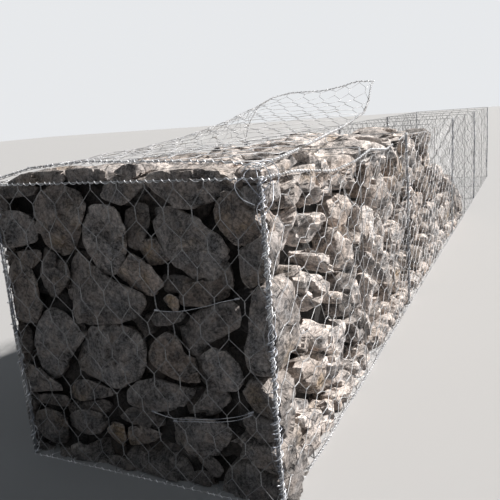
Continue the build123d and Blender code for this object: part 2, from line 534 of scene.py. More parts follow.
@dataclass(frozen=True)
class BrokenStone:
    """Quarry stone: grey to brown, grainy, with iron stains, dust on top, worn edges and painted shade in
    hollows.
    """

    grey: Triple = (0.46, 0.435, 0.425)
    brown: Triple = (0.42, 0.345, 0.295)
    blue: Triple = (0.33, 0.35, 0.38)
    dark: Triple = (0.15, 0.14, 0.14)
    ochre: Triple = (0.46, 0.32, 0.17)
    dust: Triple = (0.70, 0.635, 0.59)
    shifts: Triple = (9.1, 7.3, 4.7)
    stretch: Triple = (0.5, 1.0, 1.0)
    bending: float = 0.05
    chips: float = 21.0

    def material(self) -> bpy.types.Material:
        """The stone's material."""
        shader = Shader("broken_stone")
        tone, warmth = shader.attribute("tone"), shader.attribute("warmth")
        places = shader.node("ShaderNodeTexCoord", output="Object")
        shifts = zip("XYZ", (tone, warmth, tone), self.shifts)
        shift = shader.node("ShaderNodeCombineXYZ", {axis: value * by for axis, value, by in shifts})
        places = shader.vectors("MULTIPLY", shader.vectors("ADD", places, shift), self.stretch)
        bent = shader.scaled(shader.noise(places, 14.0, 3.0, output="Color"), self.bending)
        bent = shader.vectors("ADD", places, bent)
        chip_tone = shader.part(shader.cells(bent, self.chips, "Color"), "X")
        chip_middle = shader.cells(bent, self.chips)
        crack = shader.cells(bent, self.chips, feature="DISTANCE_TO_EDGE").below(0.0, 0.035)
        patches = shader.noise(places, 8.0, 5.0, 0.6)
        mottling = shader.noise(places, 46.0, 6.0, 0.72)
        grain = shader.noise(places, 260.0, 3.0, 0.65)
        stains = shader.noise(places, 5.5, 4.0, 0.65)
        blotches = shader.noise(places, 21.0, 4.0, 0.62)
        speckle = shader.noise(places, 105.0, 6.0, 0.80).between(0.40, 0.60)
        ridges = shader.noise(bent, 34.0, 5.0, 0.75).between(0.54, 0.66)
        pits = shader.cells(places, 120.0)
        up = shader.part(shader.node("ShaderNodeNewGeometry", output="Normal"), "Z")
        pointed = shader.node("ShaderNodeNewGeometry", output="Pointiness")
        dusty = up.between(0.05, 0.95) + pointed.between(0.51, 0.60) + mottling.between(0.5, 0.8)

        colour = self.grey
        layers = (
            ((patches * 0.9 + warmth * 1.1 - 0.55).between(0.1, 0.9), self.brown),
            (blotches.between(0.50, 0.64) * 0.55, self.brown),
            (blotches.below(0.36, 0.48) * 0.50, self.blue),
            (mottling.below(0.30, 0.60) * 0.60, self.dark),
            (stains.between(0.54, 0.70) * warmth * 0.9, self.ochre),
            (dusty * 0.45 * tone.between(0.0, 0.35), self.dust),
            # Painted shade: the small pits are darkened, as if in shade.
            (pits.below(0.05, 0.30) * 0.5, self.dark),
            # Painted shade: darker in the skin's hollows, where shade would fall.
            (pointed.below(0.42, 0.49) * 0.5, self.dark),
            (crack * stains.between(0.42, 0.58) * 0.75, self.dark),
        )
        for share, over in layers:
            colour = shader.blend(share, colour, over)
        swirl = blotches.between(0.36, 0.64)
        # Grain and mottling that are partly painted micro-shade: speckle and facet tones stand in for small
        # shadows between grains and facets.
        shading = speckle * 0.66 + grain * 0.24 + swirl * 0.50 + chip_tone * 0.42 + ridges * 0.12 - 0.15
        # Tone scales the colour; tones near 0 give the nearly black painted shade of the masses and deep
        # layers.
        lit = shader.scaled(colour, shading * (tone * 1.84 + 0.06))
        relief = shader.relief(
            (patches, 0.020, 0.4),
            (ridges, 0.002, 0.6),
            (chip_middle, 0.014, 0.7),
            (mottling, 0.0045, 0.8),
            (grain, 0.0010, 0.7),
            (pits.between(0.0, 0.3), 0.002, 0.5),
        )
        return shader.surface(Base_Color=lit, Roughness=0.97 - mottling * 0.14, Normal=relief)


@dataclass(frozen=True)
class ZincWire:
    """Zinc-coated wire: dull grey patches over a soft metal sheen, with dirt in places."""

    name: str
    bright: Triple
    dull: Triple
    dirt: Triple = (0.20, 0.17, 0.14)
    dirt_from: float = 0.55
    dirt_fade: float = 0.12
    sheen: float = 0.35

    def material(self) -> bpy.types.Material:
        """The wire's material."""
        shader = Shader(self.name)
        places = shader.node("ShaderNodeTexCoord", output="Object")
        patches = shader.noise(places, 16.0, 4.0, 0.6)
        spangle = shader.noise(places, 420.0, 3.0, 0.6)
        dirty = self.dirt_from + self.dirt_fade
        soiled = shader.noise(places, 9.0, 5.0, 0.7).between(self.dirt_from, dirty)
        colour = shader.blend(patches.between(0.35, 0.65), self.bright, self.dull)
        colour = shader.blend(spangle.between(0.35, 0.75) * 0.35, colour, self.bright)
        colour = shader.blend(soiled * 0.8, colour, self.dirt)
        # The tone kept on the mesh sets how light each part is; it carries painted shade and painted glints
        # on some parts.
        colour = shader.scaled(colour, shader.attribute("tone") * 0.9 + 0.55)
        return shader.surface(
            Base_Color=colour,
            Roughness=patches * 0.25 + soiled * 0.35 + 0.30,
            Metallic=self.sheen - soiled * 0.8 * self.sheen,
            Normal=shader.relief((spangle, 0.0003, 0.5)),
        )


NETTING_WIRE = ZincWire("netting_wire", (0.74, 0.745, 0.76), (0.40, 0.41, 0.43))
LACING_WIRE = ZincWire("lacing_wire", (0.70, 0.72, 0.76), (0.22, 0.24, 0.29), dirt_from=0.66, sheen=0.6)


# Stones

PANEL_GAP = 0.0065
ROUNDING = 0.13


@dataclass(frozen=True)
class Spot:
    """A place on a side, with the directions along, across and out of it."""

    point: Array
    along: Array
    across: Array
    outward: Array


@dataclass(frozen=True, eq=False)
class Side:
    """A flat side of the wall that stones lie against."""

    origin: Array
    along: Array
    across: Array
    outward: Array

    def spot(self, a: float, b: float) -> Spot:
        """The place at a metres along and b metres across."""
        return Spot(self.origin + a * self.along + b * self.across, self.along, self.across, self.outward)


@dataclass(frozen=True)
class Heap:
    """The top of the stones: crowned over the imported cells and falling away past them."""

    line: Outline
    shoulder_drop: float = 0.035
    shoulder_width: float = 0.12
    steepest: float = -1.2
    step: float = 0.05

    def height(self, along: float) -> float:
        """Height of the heap at a place along the row."""
        return float(np.interp(along, *zip(*self.line)))

    def spot(self, a: float, b: float) -> Spot:
        """The place at a metres along the row and b metres back from the front face."""
        rise = (self.height(a + self.step) - self.height(a - self.step)) / (2 * self.step)
        edge = np.array(min(b, WALL.width - b) / self.shoulder_width)
        along = unit(np.array([1.0, 0.0, max(rise, self.steepest)]))
        point = WALL.point(a, b, self.height(a) - float(self.shoulder_drop * (1.0 - ease(edge))))
        return Spot(point, along, Y_AXIS, np.cross(along, Y_AXIS))


class Face(Enum):
    """Faces of the wall that stones are packed against."""

    NEAR = Side(WALL.point(0.0, 0.0, 0.0), Y_AXIS, Z_AXIS, -X_AXIS)
    FRONT = Side(WALL.point(0.0, 0.0, 0.0), X_AXIS, Z_AXIS, -Y_AXIS)
    BACK = Side(WALL.point(0.0, WALL.width, 0.0), X_AXIS, Z_AXIS, Y_AXIS)
    TOP = Heap(((0.0, 1.035), (2.96, 1.02), (3.0, 0.76), (3.5, 0.70), (4.0, 0.55), (4.5, 0.36), (5.0, 0.15)))


@dataclass(frozen=True)
class Cut:
    """How stones are broken. Lengths are in metres, and most others are shares of a stone's size.

    A stone has a tilted front with chamfers, bevels round it, and broken facets, lumps and grit on
    its skin. Some stones lie deeper behind the panel than others.
    """

    parts: int = 7
    sharpness: float = 34.0
    gap: float = 0.003
    facets: int = 15
    tilt: float = 0.16
    facet_step: float = 0.022
    facet_wander: float = 0.22
    wander_length: float = 0.5
    front_tilt: float = 0.26
    face_tilt: float = 0.5
    chamfers: int = 3
    chamfer_tilt: float = 1.6
    chamfer_reach: tuple[float, float] = (0.15, 0.5)
    back_lean: float = 0.1
    bevels: int = 9
    bevel_turn: float = 0.8
    bevel_slope: tuple[float, float] = (0.35, 1.3)
    undercut: int = 3
    least_bevel: float = 0.80
    most_bevel: float = 0.97
    lean: float = 0.16
    lump: float = 0.030
    lump_length: float = 0.6
    grit: Outline = ((0.0034, 0.034), (0.0022, 0.014))
    uneven: float = 0.018
    deep_share: float = 0.24
    deep: float = 0.040
    rest: float = 0.004
    skew_depth: float = 0.09
    proud: float = 0.010
    squeeze: float = 0.1
    least_rim: float = 0.008


@dataclass
class StoneCutter:
    """Breaks stones to outlines on a side of the wall."""

    cut: Cut
    seed: int

    def __post_init__(self) -> None:
        """Start the cutter's own random numbers."""
        self.random = np.random.default_rng(self.seed)

    def facets(self, outline: Array, half: float) -> tuple[Array, Array]:
        """Flat faces that bound a stone inside its outline.

        Args:
            outline: Corners of the stone as seen from outside, from its middle.
            half: Half of its depth.

        Returns:
            The faces' directions, and how far each lies from the middle.
        """
        random, cut = self.random, self.cut
        normals = [(*random.normal(0.0, cut.front_tilt * cut.face_tilt, 2), 1.0), (cut.back_lean, 0.0, -1.0)]
        reaches = [half, half]
        for _ in range(cut.chamfers):
            tilt = random.normal(0.0, cut.front_tilt * cut.chamfer_tilt, 2)
            support = (outline @ tilt).max()
            normals.append((*tilt, 1.0))
            reaches.append(half + support * random.uniform(*cut.chamfer_reach))
        for number in range(cut.bevels):
            bearing = FULL_TURN * (number + random.uniform(0.0, cut.bevel_turn)) / cut.bevels
            level = np.array([math.cos(bearing), math.sin(bearing)])
            slope = random.uniform(*cut.bevel_slope) * (1.0 if number % cut.undercut else -1.0)
            normals.append((*level, slope))
            full = (outline @ level).max() + abs(slope) * half
            reaches.append(full * random.uniform(cut.least_bevel, cut.most_bevel))
        return np.array(normals), np.array(reaches)

    def roughen(self, points: Array, size: float) -> Array:
        """How far broken facets, lumps and grit lift the skin.

        Args:
            points: The smooth skin's points, from the stone's middle.
            size: The stone's usual half size.

        Returns:
            The lift at each point in metres.
        """
        random, cut = self.random, self.cut
        seed = int(random.integers(1 << 20))
        length = cut.wander_length * size
        wander = np.stack([lattice_noise(points, length, seed + axis) for axis in range(3)], axis=-1)
        seeds = points[random.choice(len(points), cut.facets, replace=False)]
        spans = np.linalg.norm((points + cut.facet_wander * size * wander)[:, None] - seeds, axis=-1)
        nearest = spans.argmin(axis=1)
        tilts = random.normal(0.0, cut.tilt, (cut.facets, 3))
        steps = random.normal(0.0, cut.facet_step * size, cut.facets)
        lift = ((points - seeds[nearest]) * tilts[nearest]).sum(axis=1) + steps[nearest]
        lumps = ((cut.lump * size, cut.lump_length * size), *cut.grit)
        for number, (height, length) in enumerate(lumps, 3):
            lift += height * lattice_noise(points, length, seed + number)
        return lift

    def stone(
        self, spot: Spot, outline: Array, depth: float, recess: float, skew: Array | float = 0.0
    ) -> Shape:
        """Break one stone.

        Args:
            spot: The side's place at the middle of the outline.
            outline: Corners of the stone as seen from outside, from that middle.
            depth: How deep the stone goes in.
            recess: How far its face lies behind the side.
            skew: How far its inner parts lie along and across the side, for each metre of depth.

        Returns:
            The points and the faces of the stone.
        """
        cut = self.cut
        half = depth / 2
        halves = np.array([*np.ptp(outline, axis=0) / 2, half])
        skin, triangles = ball(cut.parts)
        directions = unit(skin * halves)
        rim = rounded(outline)
        rim_bearing = np.arctan2(rim[:, 1], rim[:, 0])
        rim_span = np.maximum(np.hypot(rim[:, 0], rim[:, 1]) - cut.gap, cut.least_rim)
        bearing = np.arctan2(directions[:, 1], directions[:, 0])
        rim_reach = np.interp(bearing, rim_bearing, rim_span, period=FULL_TURN)
        within_rim = np.hypot(directions[:, 0], directions[:, 1]) / rim_reach
        within_rim += cut.lean * np.maximum(-directions[:, 2], 0.0) / half
        normals, reaches = self.facets(outline, half)
        within = np.maximum(directions @ normals.T / reaches, 0.0)
        within = np.concatenate([within, within_rim[:, None]], axis=1)
        reach = (within**cut.sharpness).sum(axis=1) ** (-1.0 / cut.sharpness)
        reach += self.roughen(directions * reach[:, None], float(np.median(halves)))
        axes = np.array([spot.along, spot.across, spot.outward])
        if np.linalg.det(axes) < 0:
            triangles = triangles[:, ::-1]
        points = directions * reach[:, None]
        points[:, 2] -= points[:, 2].max() + recess
        points[:, :2] += np.minimum(-points[:, 2:], cut.skew_depth) * skew
        points = spot.point + points @ axes
        back = WALL.back_y + cut.proud
        points[:, 2] = np.maximum(points[:, 2], cut.rest + cut.squeeze * (points[:, 2] - cut.rest))
        points[:, 1] = np.minimum(points[:, 1], back + cut.squeeze * (points[:, 1] - back))
        return points, [triangles]


def rounded(outline: Array) -> Array:
    """A dense outline with its corners a little rounded."""
    following = np.roll(outline, -1, axis=0)
    pairs = [outline + cut * (following - outline) for cut in (ROUNDING, 1.0 - ROUNDING)]
    corners = np.stack(pairs, axis=1).reshape(-1, 2)
    share = np.linspace(0.0, 1.0, 8, endpoint=False)[None, :, None]
    return (corners[:, None] * (1.0 - share) + np.roll(corners, -1, axis=0)[:, None] * share).reshape(-1, 2)


def clip(outline: Array, normal: Array, reach: float) -> Array:
    """The part of an outline where a direction reaches no further than a line."""
    over = outline @ normal - reach
    kept = []
    for index in range(len(outline)):
        before, after = over[index - 1], over[index]
        if (before <= 0) != (after <= 0):
            share = before / (before - after)
            kept.append(outline[index - 1] + share * (outline[index] - outline[index - 1]))
        if after <= 0:
            kept.append(outline[index])
    return np.array(kept)


def centre(outline: Array) -> Array:
    """Centre of an outline's area."""
    following = np.roll(outline, -1, axis=0)
    areas = outline[:, 0] * following[:, 1] - following[:, 0] * outline[:, 1]
    return ((outline + following) * areas[:, None]).sum(axis=0) / (3.0 * areas.sum())


def inside(point: Array, outline: Array) -> bool:
    """Whether a point lies in an outline."""
    before = np.roll(outline, 1, axis=0)
    crosses = (outline[:, 1] > point[1]) != (before[:, 1] > point[1])
    rise = np.where(crosses, before[:, 1] - outline[:, 1], 1.0)
    meets = outline[:, 0] + (point[1] - outline[:, 1]) * (before[:, 0] - outline[:, 0]) / rise
    return bool((crosses & (point[0] < meets)).sum() % 2)


@dataclass
class Packing:
    """Stones packed over a side: outlines that share their borders, of uneven sizes.

    The sites of corner stones, which belong to another side, hold their place and get no outline, and nor
    does a stone whose middle lies in an outline that is taken. The numbers without a type are counts, or
    are measured in steps of the spacing.
    """

    low: tuple[float, float]
    high: tuple[float, float]
    spacing: tuple[float, float]
    seed: int
    held: tuple[tuple[float, float], ...] = ()
    ceiling: Callable[[float], float] | None = None
    taken: tuple[Array, ...] = ()

    jitter = 0.42
    room = (-0.30, 0.34)
    top_gap = 0.3
    held_gap = 0.55
    first_reach = 1.6
    neighbours = 24
    least_span = 0.25
    settlings = 2

    def outlines(self) -> list[Array]:
        """Corners of each stone's outline on the side."""
        random = np.random.default_rng(self.seed)
        low, high = self.low / self.step, self.high / self.step
        sites = []
        for row in range(int(math.ceil(high[1] - low[1]))):
            for column in range(-1, int(math.ceil(high[0] - low[0])) + 1):
                jitter = random.uniform(-self.jitter, self.jitter, 2)
                sites.append(low + (column + 0.5 + 0.5 * (row % 2), row + 0.5) + jitter)
        sites = np.array(sites)
        top = np.array([self.top(site) for site in sites])
        sites = sites[(sites[:, 0] > low[0]) & (sites[:, 0] < high[0]) & (sites[:, 1] < top - self.top_gap)]
        held = np.array(self.held).reshape(-1, 2) / self.step
        if len(held):
            apart = np.linalg.norm(sites[:, None] - held[None], axis=-1).min(axis=1)
            sites = sites[apart > self.held_gap]
        free = len(sites)
        sites = np.concatenate([sites, held])
        room = np.concatenate([random.uniform(*self.room, free), np.zeros(len(held))])
        for _ in range(self.settlings):
            cells = [self.cell(index, sites, room) for index in range(free)]
            for index, cell in enumerate(cells):
                if len(cell) > 2:
                    sites[index] = 0.5 * (sites[index] + centre(cell))
        cells = [self.cell(index, sites, room) for index in range(free)]
        whole = [cell for cell in cells if len(cell) > 2 and np.ptp(cell, axis=0).min() > self.least_span]
        outlines = [cell * self.step for cell in whole]
        return [outline for outline in outlines if not self.is_taken(centre(outline))]

    def is_taken(self, place: Array) -> bool:
        """Whether a place lies in an outline that is taken."""
        return any(inside(place, outline) for outline in self.taken)

    @property
    def step(self) -> Array:
        """Size of a step of the spacing, both ways."""
        return np.array(self.spacing)

    def top(self, site: Array) -> float:
        """Upper end of the side over a site, in steps."""
        high = self.high[1]
        if self.ceiling:
            high = min(high, self.ceiling(site[0] * self.spacing[0]))
        return high / self.spacing[1]

    def cell(self, index: int, sites: Array, room: Array) -> Array:
        """One site's outline, in steps of the spacing.

        Args:
            index: Which site.
            sites: All sites.
            room: How much room each site takes.

        Returns:
            The outline's corners.
        """
        site = sites[index]
        offsets = sites - site
        spans = np.linalg.norm(offsets, axis=1)
        borders = []
        for other in np.argsort(spans)[1 : self.neighbours]:
            normal = offsets[other] / spans[other]
            middle = (spans[other] ** 2 + room[index] - room[other]) / (2 * spans[other])
            borders.append((normal, normal @ site + middle))
        low, high = self.low / self.step, self.high / self.step
        borders += [((-1, 0), -low[0]), ((1, 0), high[0]), ((0, -1), -low[1]), ((0, 1), self.top(site))]
        outline = site + self.first_reach * np.array([(-1, -1), (1, -1), (1, 1), (-1, 1)])
        for normal, reach in borders:
            if len(outline) > 2:
                outline = clip(outline, np.array(normal, float), reach)
        return outline


@dataclass(frozen=True)
class PlacedStone:
    """A listed stone: its look, how deep it goes, how far it lies behind the panel, and its corners.

    Corners are in millimetres: (across, up) on the near end and (along, up) on the front.
    """

    tone: float
    warmth: float
    depth: float
    recess: float
    corners: tuple[tuple[int, int], ...]

    @property
    def outline(self) -> Array:
        """Its corners in metres."""
        return metres(self.corners)


END_STONES = tuple(PlacedStone(*row) for row in (
    (0.30, 0.55, 0.20, 0.012, ((990, 995), (770, 995), (800, 962), (980, 955))),
    (0.55, 0.35, 0.20, 0.004, (
        (1120, 900), (960, 922), (890, 915), (845, 900), (812, 870), (815, 810), (900, 790), (1120, 785),
    )),
    (0.40, 0.55, 0.16, 0.022, ((925, 775), (815, 785), (815, 757), (862, 712), (915, 748))),
    (0.50, 0.60, 0.14, 0.020, ((1120, 762), (960, 775), (925, 765), (920, 752), (985, 742))),
    (0.55, 0.75, 0.20, 0.002, (
        (1120, 720), (985, 742), (930, 752), (865, 710), (845, 660), (850, 580), (880, 530), (930, 518),
        (1120, 545),
    )),
    (0.48, 0.60, 0.20, 0.004, (
        (835, 908), (800, 962), (755, 990), (690, 1000), (620, 975), (600, 935), (635, 850), (655, 795),
        (700, 775), (755, 763), (800, 800), (815, 870),
    )),
    (0.68, 0.42, 0.18, 0.000, (
        (610, 910), (575, 934), (500, 930), (475, 900), (468, 790), (485, 745), (515, 710), (550, 703),
        (580, 720), (610, 760), (628, 810), (628, 860),
    )),
    (0.40, 0.45, 0.16, 0.014, (
        (835, 700), (805, 785), (785, 790), (745, 765), (705, 745), (700, 700), (730, 655), (765, 625),
        (800, 615), (820, 650),
    )),
    (0.50, 0.38, 0.24, 0.003, (
        (700, 740), (660, 795), (625, 770), (560, 705), (500, 680), (420, 655), (410, 625), (450, 575),
        (540, 545), (660, 525), (705, 560), (712, 620),
    )),
    (0.60, 0.25, 0.20, 0.002, (
        (905, 450), (885, 520), (850, 565), (800, 588), (745, 575), (690, 535), (675, 510), (700, 475),
        (735, 440), (760, 385), (800, 335), (840, 317), (880, 345), (905, 390),
    )),
    (0.68, 0.22, 0.22, 0.000, (
        (730, 400), (700, 470), (660, 520), (600, 547), (530, 555), (460, 535), (432, 490), (440, 420),
        (470, 370), (520, 345), (580, 322), (640, 338), (720, 355),
    )),
    (0.60, 0.45, 0.18, 0.004, (
        (1120, 372), (960, 375), (900, 350), (855, 320), (800, 300), (800, 275), (870, 265), (950, 254),
        (1120, 262),
    )),
    (0.30, 0.65, 0.16, 0.016, ((1120, 535), (970, 535), (900, 500), (910, 440), (930, 410), (1120, 400))),
    (0.42, 0.40, 0.18, 0.006, (
        (975, 140), (955, 180), (900, 200), (840, 195), (810, 165), (810, 100), (830, 70), (870, 64),
        (930, 85), (965, 115),
    )),
    (0.48, 0.35, 0.16, 0.008, (
        (809, 170), (780, 207), (718, 222), (640, 222), (637, 174), (675, 136), (749, 129), (798, 146),
    )),
    (0.55, 0.40, 0.20, 0.002, (
        (828, 63), (739, 99), (655, 130), (620, 127), (621, 76), (612, -160), (790, -160), (800, 20),
    )),
    (0.55, 0.35, 0.22, 0.002, (
        (595, 30), (570, 85), (550, 115), (480, 135), (420, 165), (370, 150), (320, 115), (298, 85),
        (300, 55), (340, -30), (450, -160), (570, -160),
    )),
    (0.66, 0.80, 0.10, 0.012, (
        (640, 165), (600, 195), (565, 190), (560, 150), (575, 115), (600, 120), (630, 145),
    )),
    (0.58, 0.70, 0.14, 0.008, (
        (552, 150), (545, 190), (470, 200), (410, 185), (440, 158), (500, 130), (545, 120),
    )),
    (0.34, 0.45, 0.16, 0.024, (
        (585, 215), (530, 262), (450, 262), (385, 250), (400, 215), (440, 195), (520, 200),
    )),
    (0.56, 0.30, 0.18, 0.003, (
        (537, 316), (485, 358), (412, 379), (351, 373), (298, 369), (245, 371), (259, 344), (318, 296),
        (383, 269), (453, 261), (518, 266), (538, 286),
    )),
    (0.58, 0.95, 0.18, 0.006, (
        (432, 466), (402, 503), (354, 545), (315, 527), (298, 470), (252, 465), (246, 384), (285, 376),
        (350, 384), (408, 413), (433, 438),
    )),
    (0.44, 0.40, 0.18, 0.010, (
        (292, 560), (260, 605), (190, 632), (100, 650), (88, 620), (100, 575), (155, 545), (200, 520),
        (235, 480), (270, 475), (295, 505),
    )),
    (0.66, 0.30, 0.14, 0.002, (
        (247, 435), (235, 475), (195, 508), (140, 500), (105, 460), (98, 405), (130, 368), (190, 370),
        (215, 400),
    )),
    (0.50, 0.30, 0.14, 0.012, (
        (315, 268), (260, 325), (215, 390), (165, 378), (150, 345), (185, 300), (250, 280),
    )),
    (0.46, 0.50, 0.16, 0.006, (
        (120, 365), (100, 395), (70, 395), (30, 360), (6, 340), (5, 290), (30, 277), (70, 295), (100, 330),
    )),
    (0.40, 0.15, 0.12, 0.008, (
        (130, 270), (90, 285), (30, 270), (5, 265), (5, 215), (50, 200), (80, 195), (120, 200),
    )),
    (0.60, 0.45, 0.20, 0.003, (
        (170, 182), (130, 190), (50, 190), (6, 170), (5, 130), (20, 105), (60, 98), (100, 108), (140, 145),
    )),
    (0.46, 0.35, 0.22, 0.006, (
        (235, -160), (218, 55), (190, 90), (130, 125), (60, 92), (5, 85), (5, -160),
    )),
    (0.42, 0.45, 0.10, 0.020, ((285, 125), (255, 150), (215, 125), (200, 98), (215, 70), (245, 67))),
    (0.62, 0.30, 0.16, 0.006, (
        (366, 248), (352, 170), (312, 120), (255, 148), (205, 150), (170, 190), (148, 225), (150, 255),
        (220, 265), (300, 258),
    )),
    (0.72, 0.72, 0.14, 0.000, (
        (520, 715), (485, 750), (450, 788), (400, 755), (345, 700), (340, 685), (380, 655), (410, 655),
        (470, 680),
    )),
    (0.30, 0.50, 0.14, 0.022, (
        (465, 870), (450, 915), (400, 942), (365, 930), (370, 875), (390, 840), (420, 790), (455, 800),
    )),
    (0.50, 0.65, 0.14, 0.008, (
        (420, 800), (395, 835), (355, 830), (335, 800), (305, 780), (320, 765), (355, 745), (385, 745),
    )),
    (0.56, 0.40, 0.24, 0.001, (
        (375, 885), (345, 930), (270, 925), (200, 895), (180, 868), (130, 842), (105, 800), (140, 765),
        (190, 715), (235, 703), (280, 738), (325, 790), (360, 850),
    )),
    (0.55, 0.88, 0.14, 0.002, (
        (178, 900), (160, 930), (125, 956), (95, 945), (45, 900), (18, 860), (35, 825), (80, 797),
        (110, 805), (140, 845),
    )),
    (0.50, 0.30, 0.10, 0.004, (
        (110, 760), (100, 790), (50, 820), (20, 840), (4, 800), (6, 730), (40, 695), (85, 677), (107, 700),
    )),
    (0.62, 0.40, 0.19, 0.000, (
        (60, 690), (30, 692), (4, 660), (4, 450), (30, 410), (60, 405), (90, 430), (95, 470), (88, 560),
        (80, 620),
    )),
    (0.34, 0.40, 0.10, 0.022, ((150, 740), (118, 770), (112, 730), (108, 690), (140, 690))),
    (0.70, 0.80, 0.06, 0.014, ((350, 645), (330, 660), (300, 650), (300, 620), (320, 612), (340, 630))),
    (0.40, 0.75, 0.14, 0.016, (
        (299, 663), (272, 695), (204, 706), (137, 727), (118, 708), (122, 664), (189, 634), (281, 620),
        (303, 631),
    )),
    (0.26, 0.45, 0.12, 0.030, (
        (345, 717), (297, 726), (247, 714), (221, 703), (235, 677), (293, 663), (339, 670),
    )),
    (0.36, 0.40, 0.12, 0.026, (
        (410, 585), (360, 605), (300, 610), (275, 600), (300, 575), (350, 560), (390, 555),
    )),
    (0.50, 0.45, 0.16, 0.004, (
        (540, 955), (528, 990), (500, 1005), (475, 1022), (420, 1005), (370, 992), (400, 965), (430, 945),
        (465, 930), (510, 940),
    )),
    (0.58, 0.50, 0.22, 0.002, (
        (365, 995), (350, 1020), (280, 1035), (120, 1025), (80, 1000), (75, 970), (110, 957), (165, 938),
        (220, 922), (280, 926), (320, 950),
    )),
    (0.50, 0.50, 0.24, 0.008, (
        (940, 1000), (860, 1028), (760, 1042), (670, 1036), (660, 1005), (800, 1000),
    )),
    (0.54, 0.45, 0.24, 0.006, (
        (660, 1040), (600, 1045), (520, 1040), (500, 1030), (515, 1005), (620, 1000), (658, 1008),
    )),
    (0.56, 0.35, 0.18, 0.004, (
        (478, 1030), (440, 1050), (385, 1050), (375, 1020), (410, 1010), (450, 1018),
    )),
    (0.55, 0.15, 0.12, 0.006, ((74, 975), (6, 978), (6, 925), (40, 920), (70, 940))),
    (0.72, 0.45, 0.12, 0.010, ((70, 1022), (10, 1020), (10, 985), (72, 985))),
    (0.46, 0.20, 0.16, 0.012, ((1120, 50), (970, 75), (930, 60), (900, 30), (900, -160), (1120, -160))),
    (0.36, 0.50, 0.14, 0.018, ((1120, 235), (960, 235), (940, 212), (975, 165), (1120, 130))),
    (0.34, 0.50, 0.14, 0.022, (
        (940, 250), (860, 262), (800, 262), (785, 235), (800, 220), (850, 220), (930, 215),
    )),
    (0.52, 0.50, 0.16, 0.008, (
        (790, 275), (765, 300), (740, 335), (680, 335), (600, 318), (555, 305), (620, 285), (700, 262),
        (770, 250),
    )),
    (0.34, 0.45, 0.14, 0.026, ((730, 248), (630, 272), (595, 262), (620, 225), (710, 222))),
    (0.30, 0.50, 0.16, 0.030, ((1120, 965), (930, 965), (915, 900), (1120, 895))),
    (0.30, 0.50, 0.16, 0.030, ((1120, 800), (930, 800), (915, 740), (1120, 720))),
    (0.30, 0.50, 0.16, 0.030, ((1120, 570), (930, 570), (920, 510), (1120, 500))),
    (0.30, 0.50, 0.16, 0.030, ((1120, 430), (930, 440), (920, 350), (1120, 340))),
    (0.30, 0.50, 0.16, 0.030, ((1120, 280), (930, 280), (920, 200), (1120, 200))),
    (0.30, 0.50, 0.16, 0.030, ((1120, 160), (940, 150), (930, 40), (1120, 40))),
    (0.40, 0.40, 0.16, 0.010, ((1120, -160), (885, -160), (880, 50), (940, 60), (1120, 60))),
    (0.36, 0.50, 0.16, 0.008, ((880, -160), (760, -160), (770, 50), (860, 60))),
    (0.40, 0.45, 0.16, 0.010, ((660, -160), (520, -160), (530, 40), (600, 70), (650, 50))),
    (0.34, 0.45, 0.16, 0.012, ((340, -160), (210, -160), (215, 50), (260, 80), (330, 60))),
))

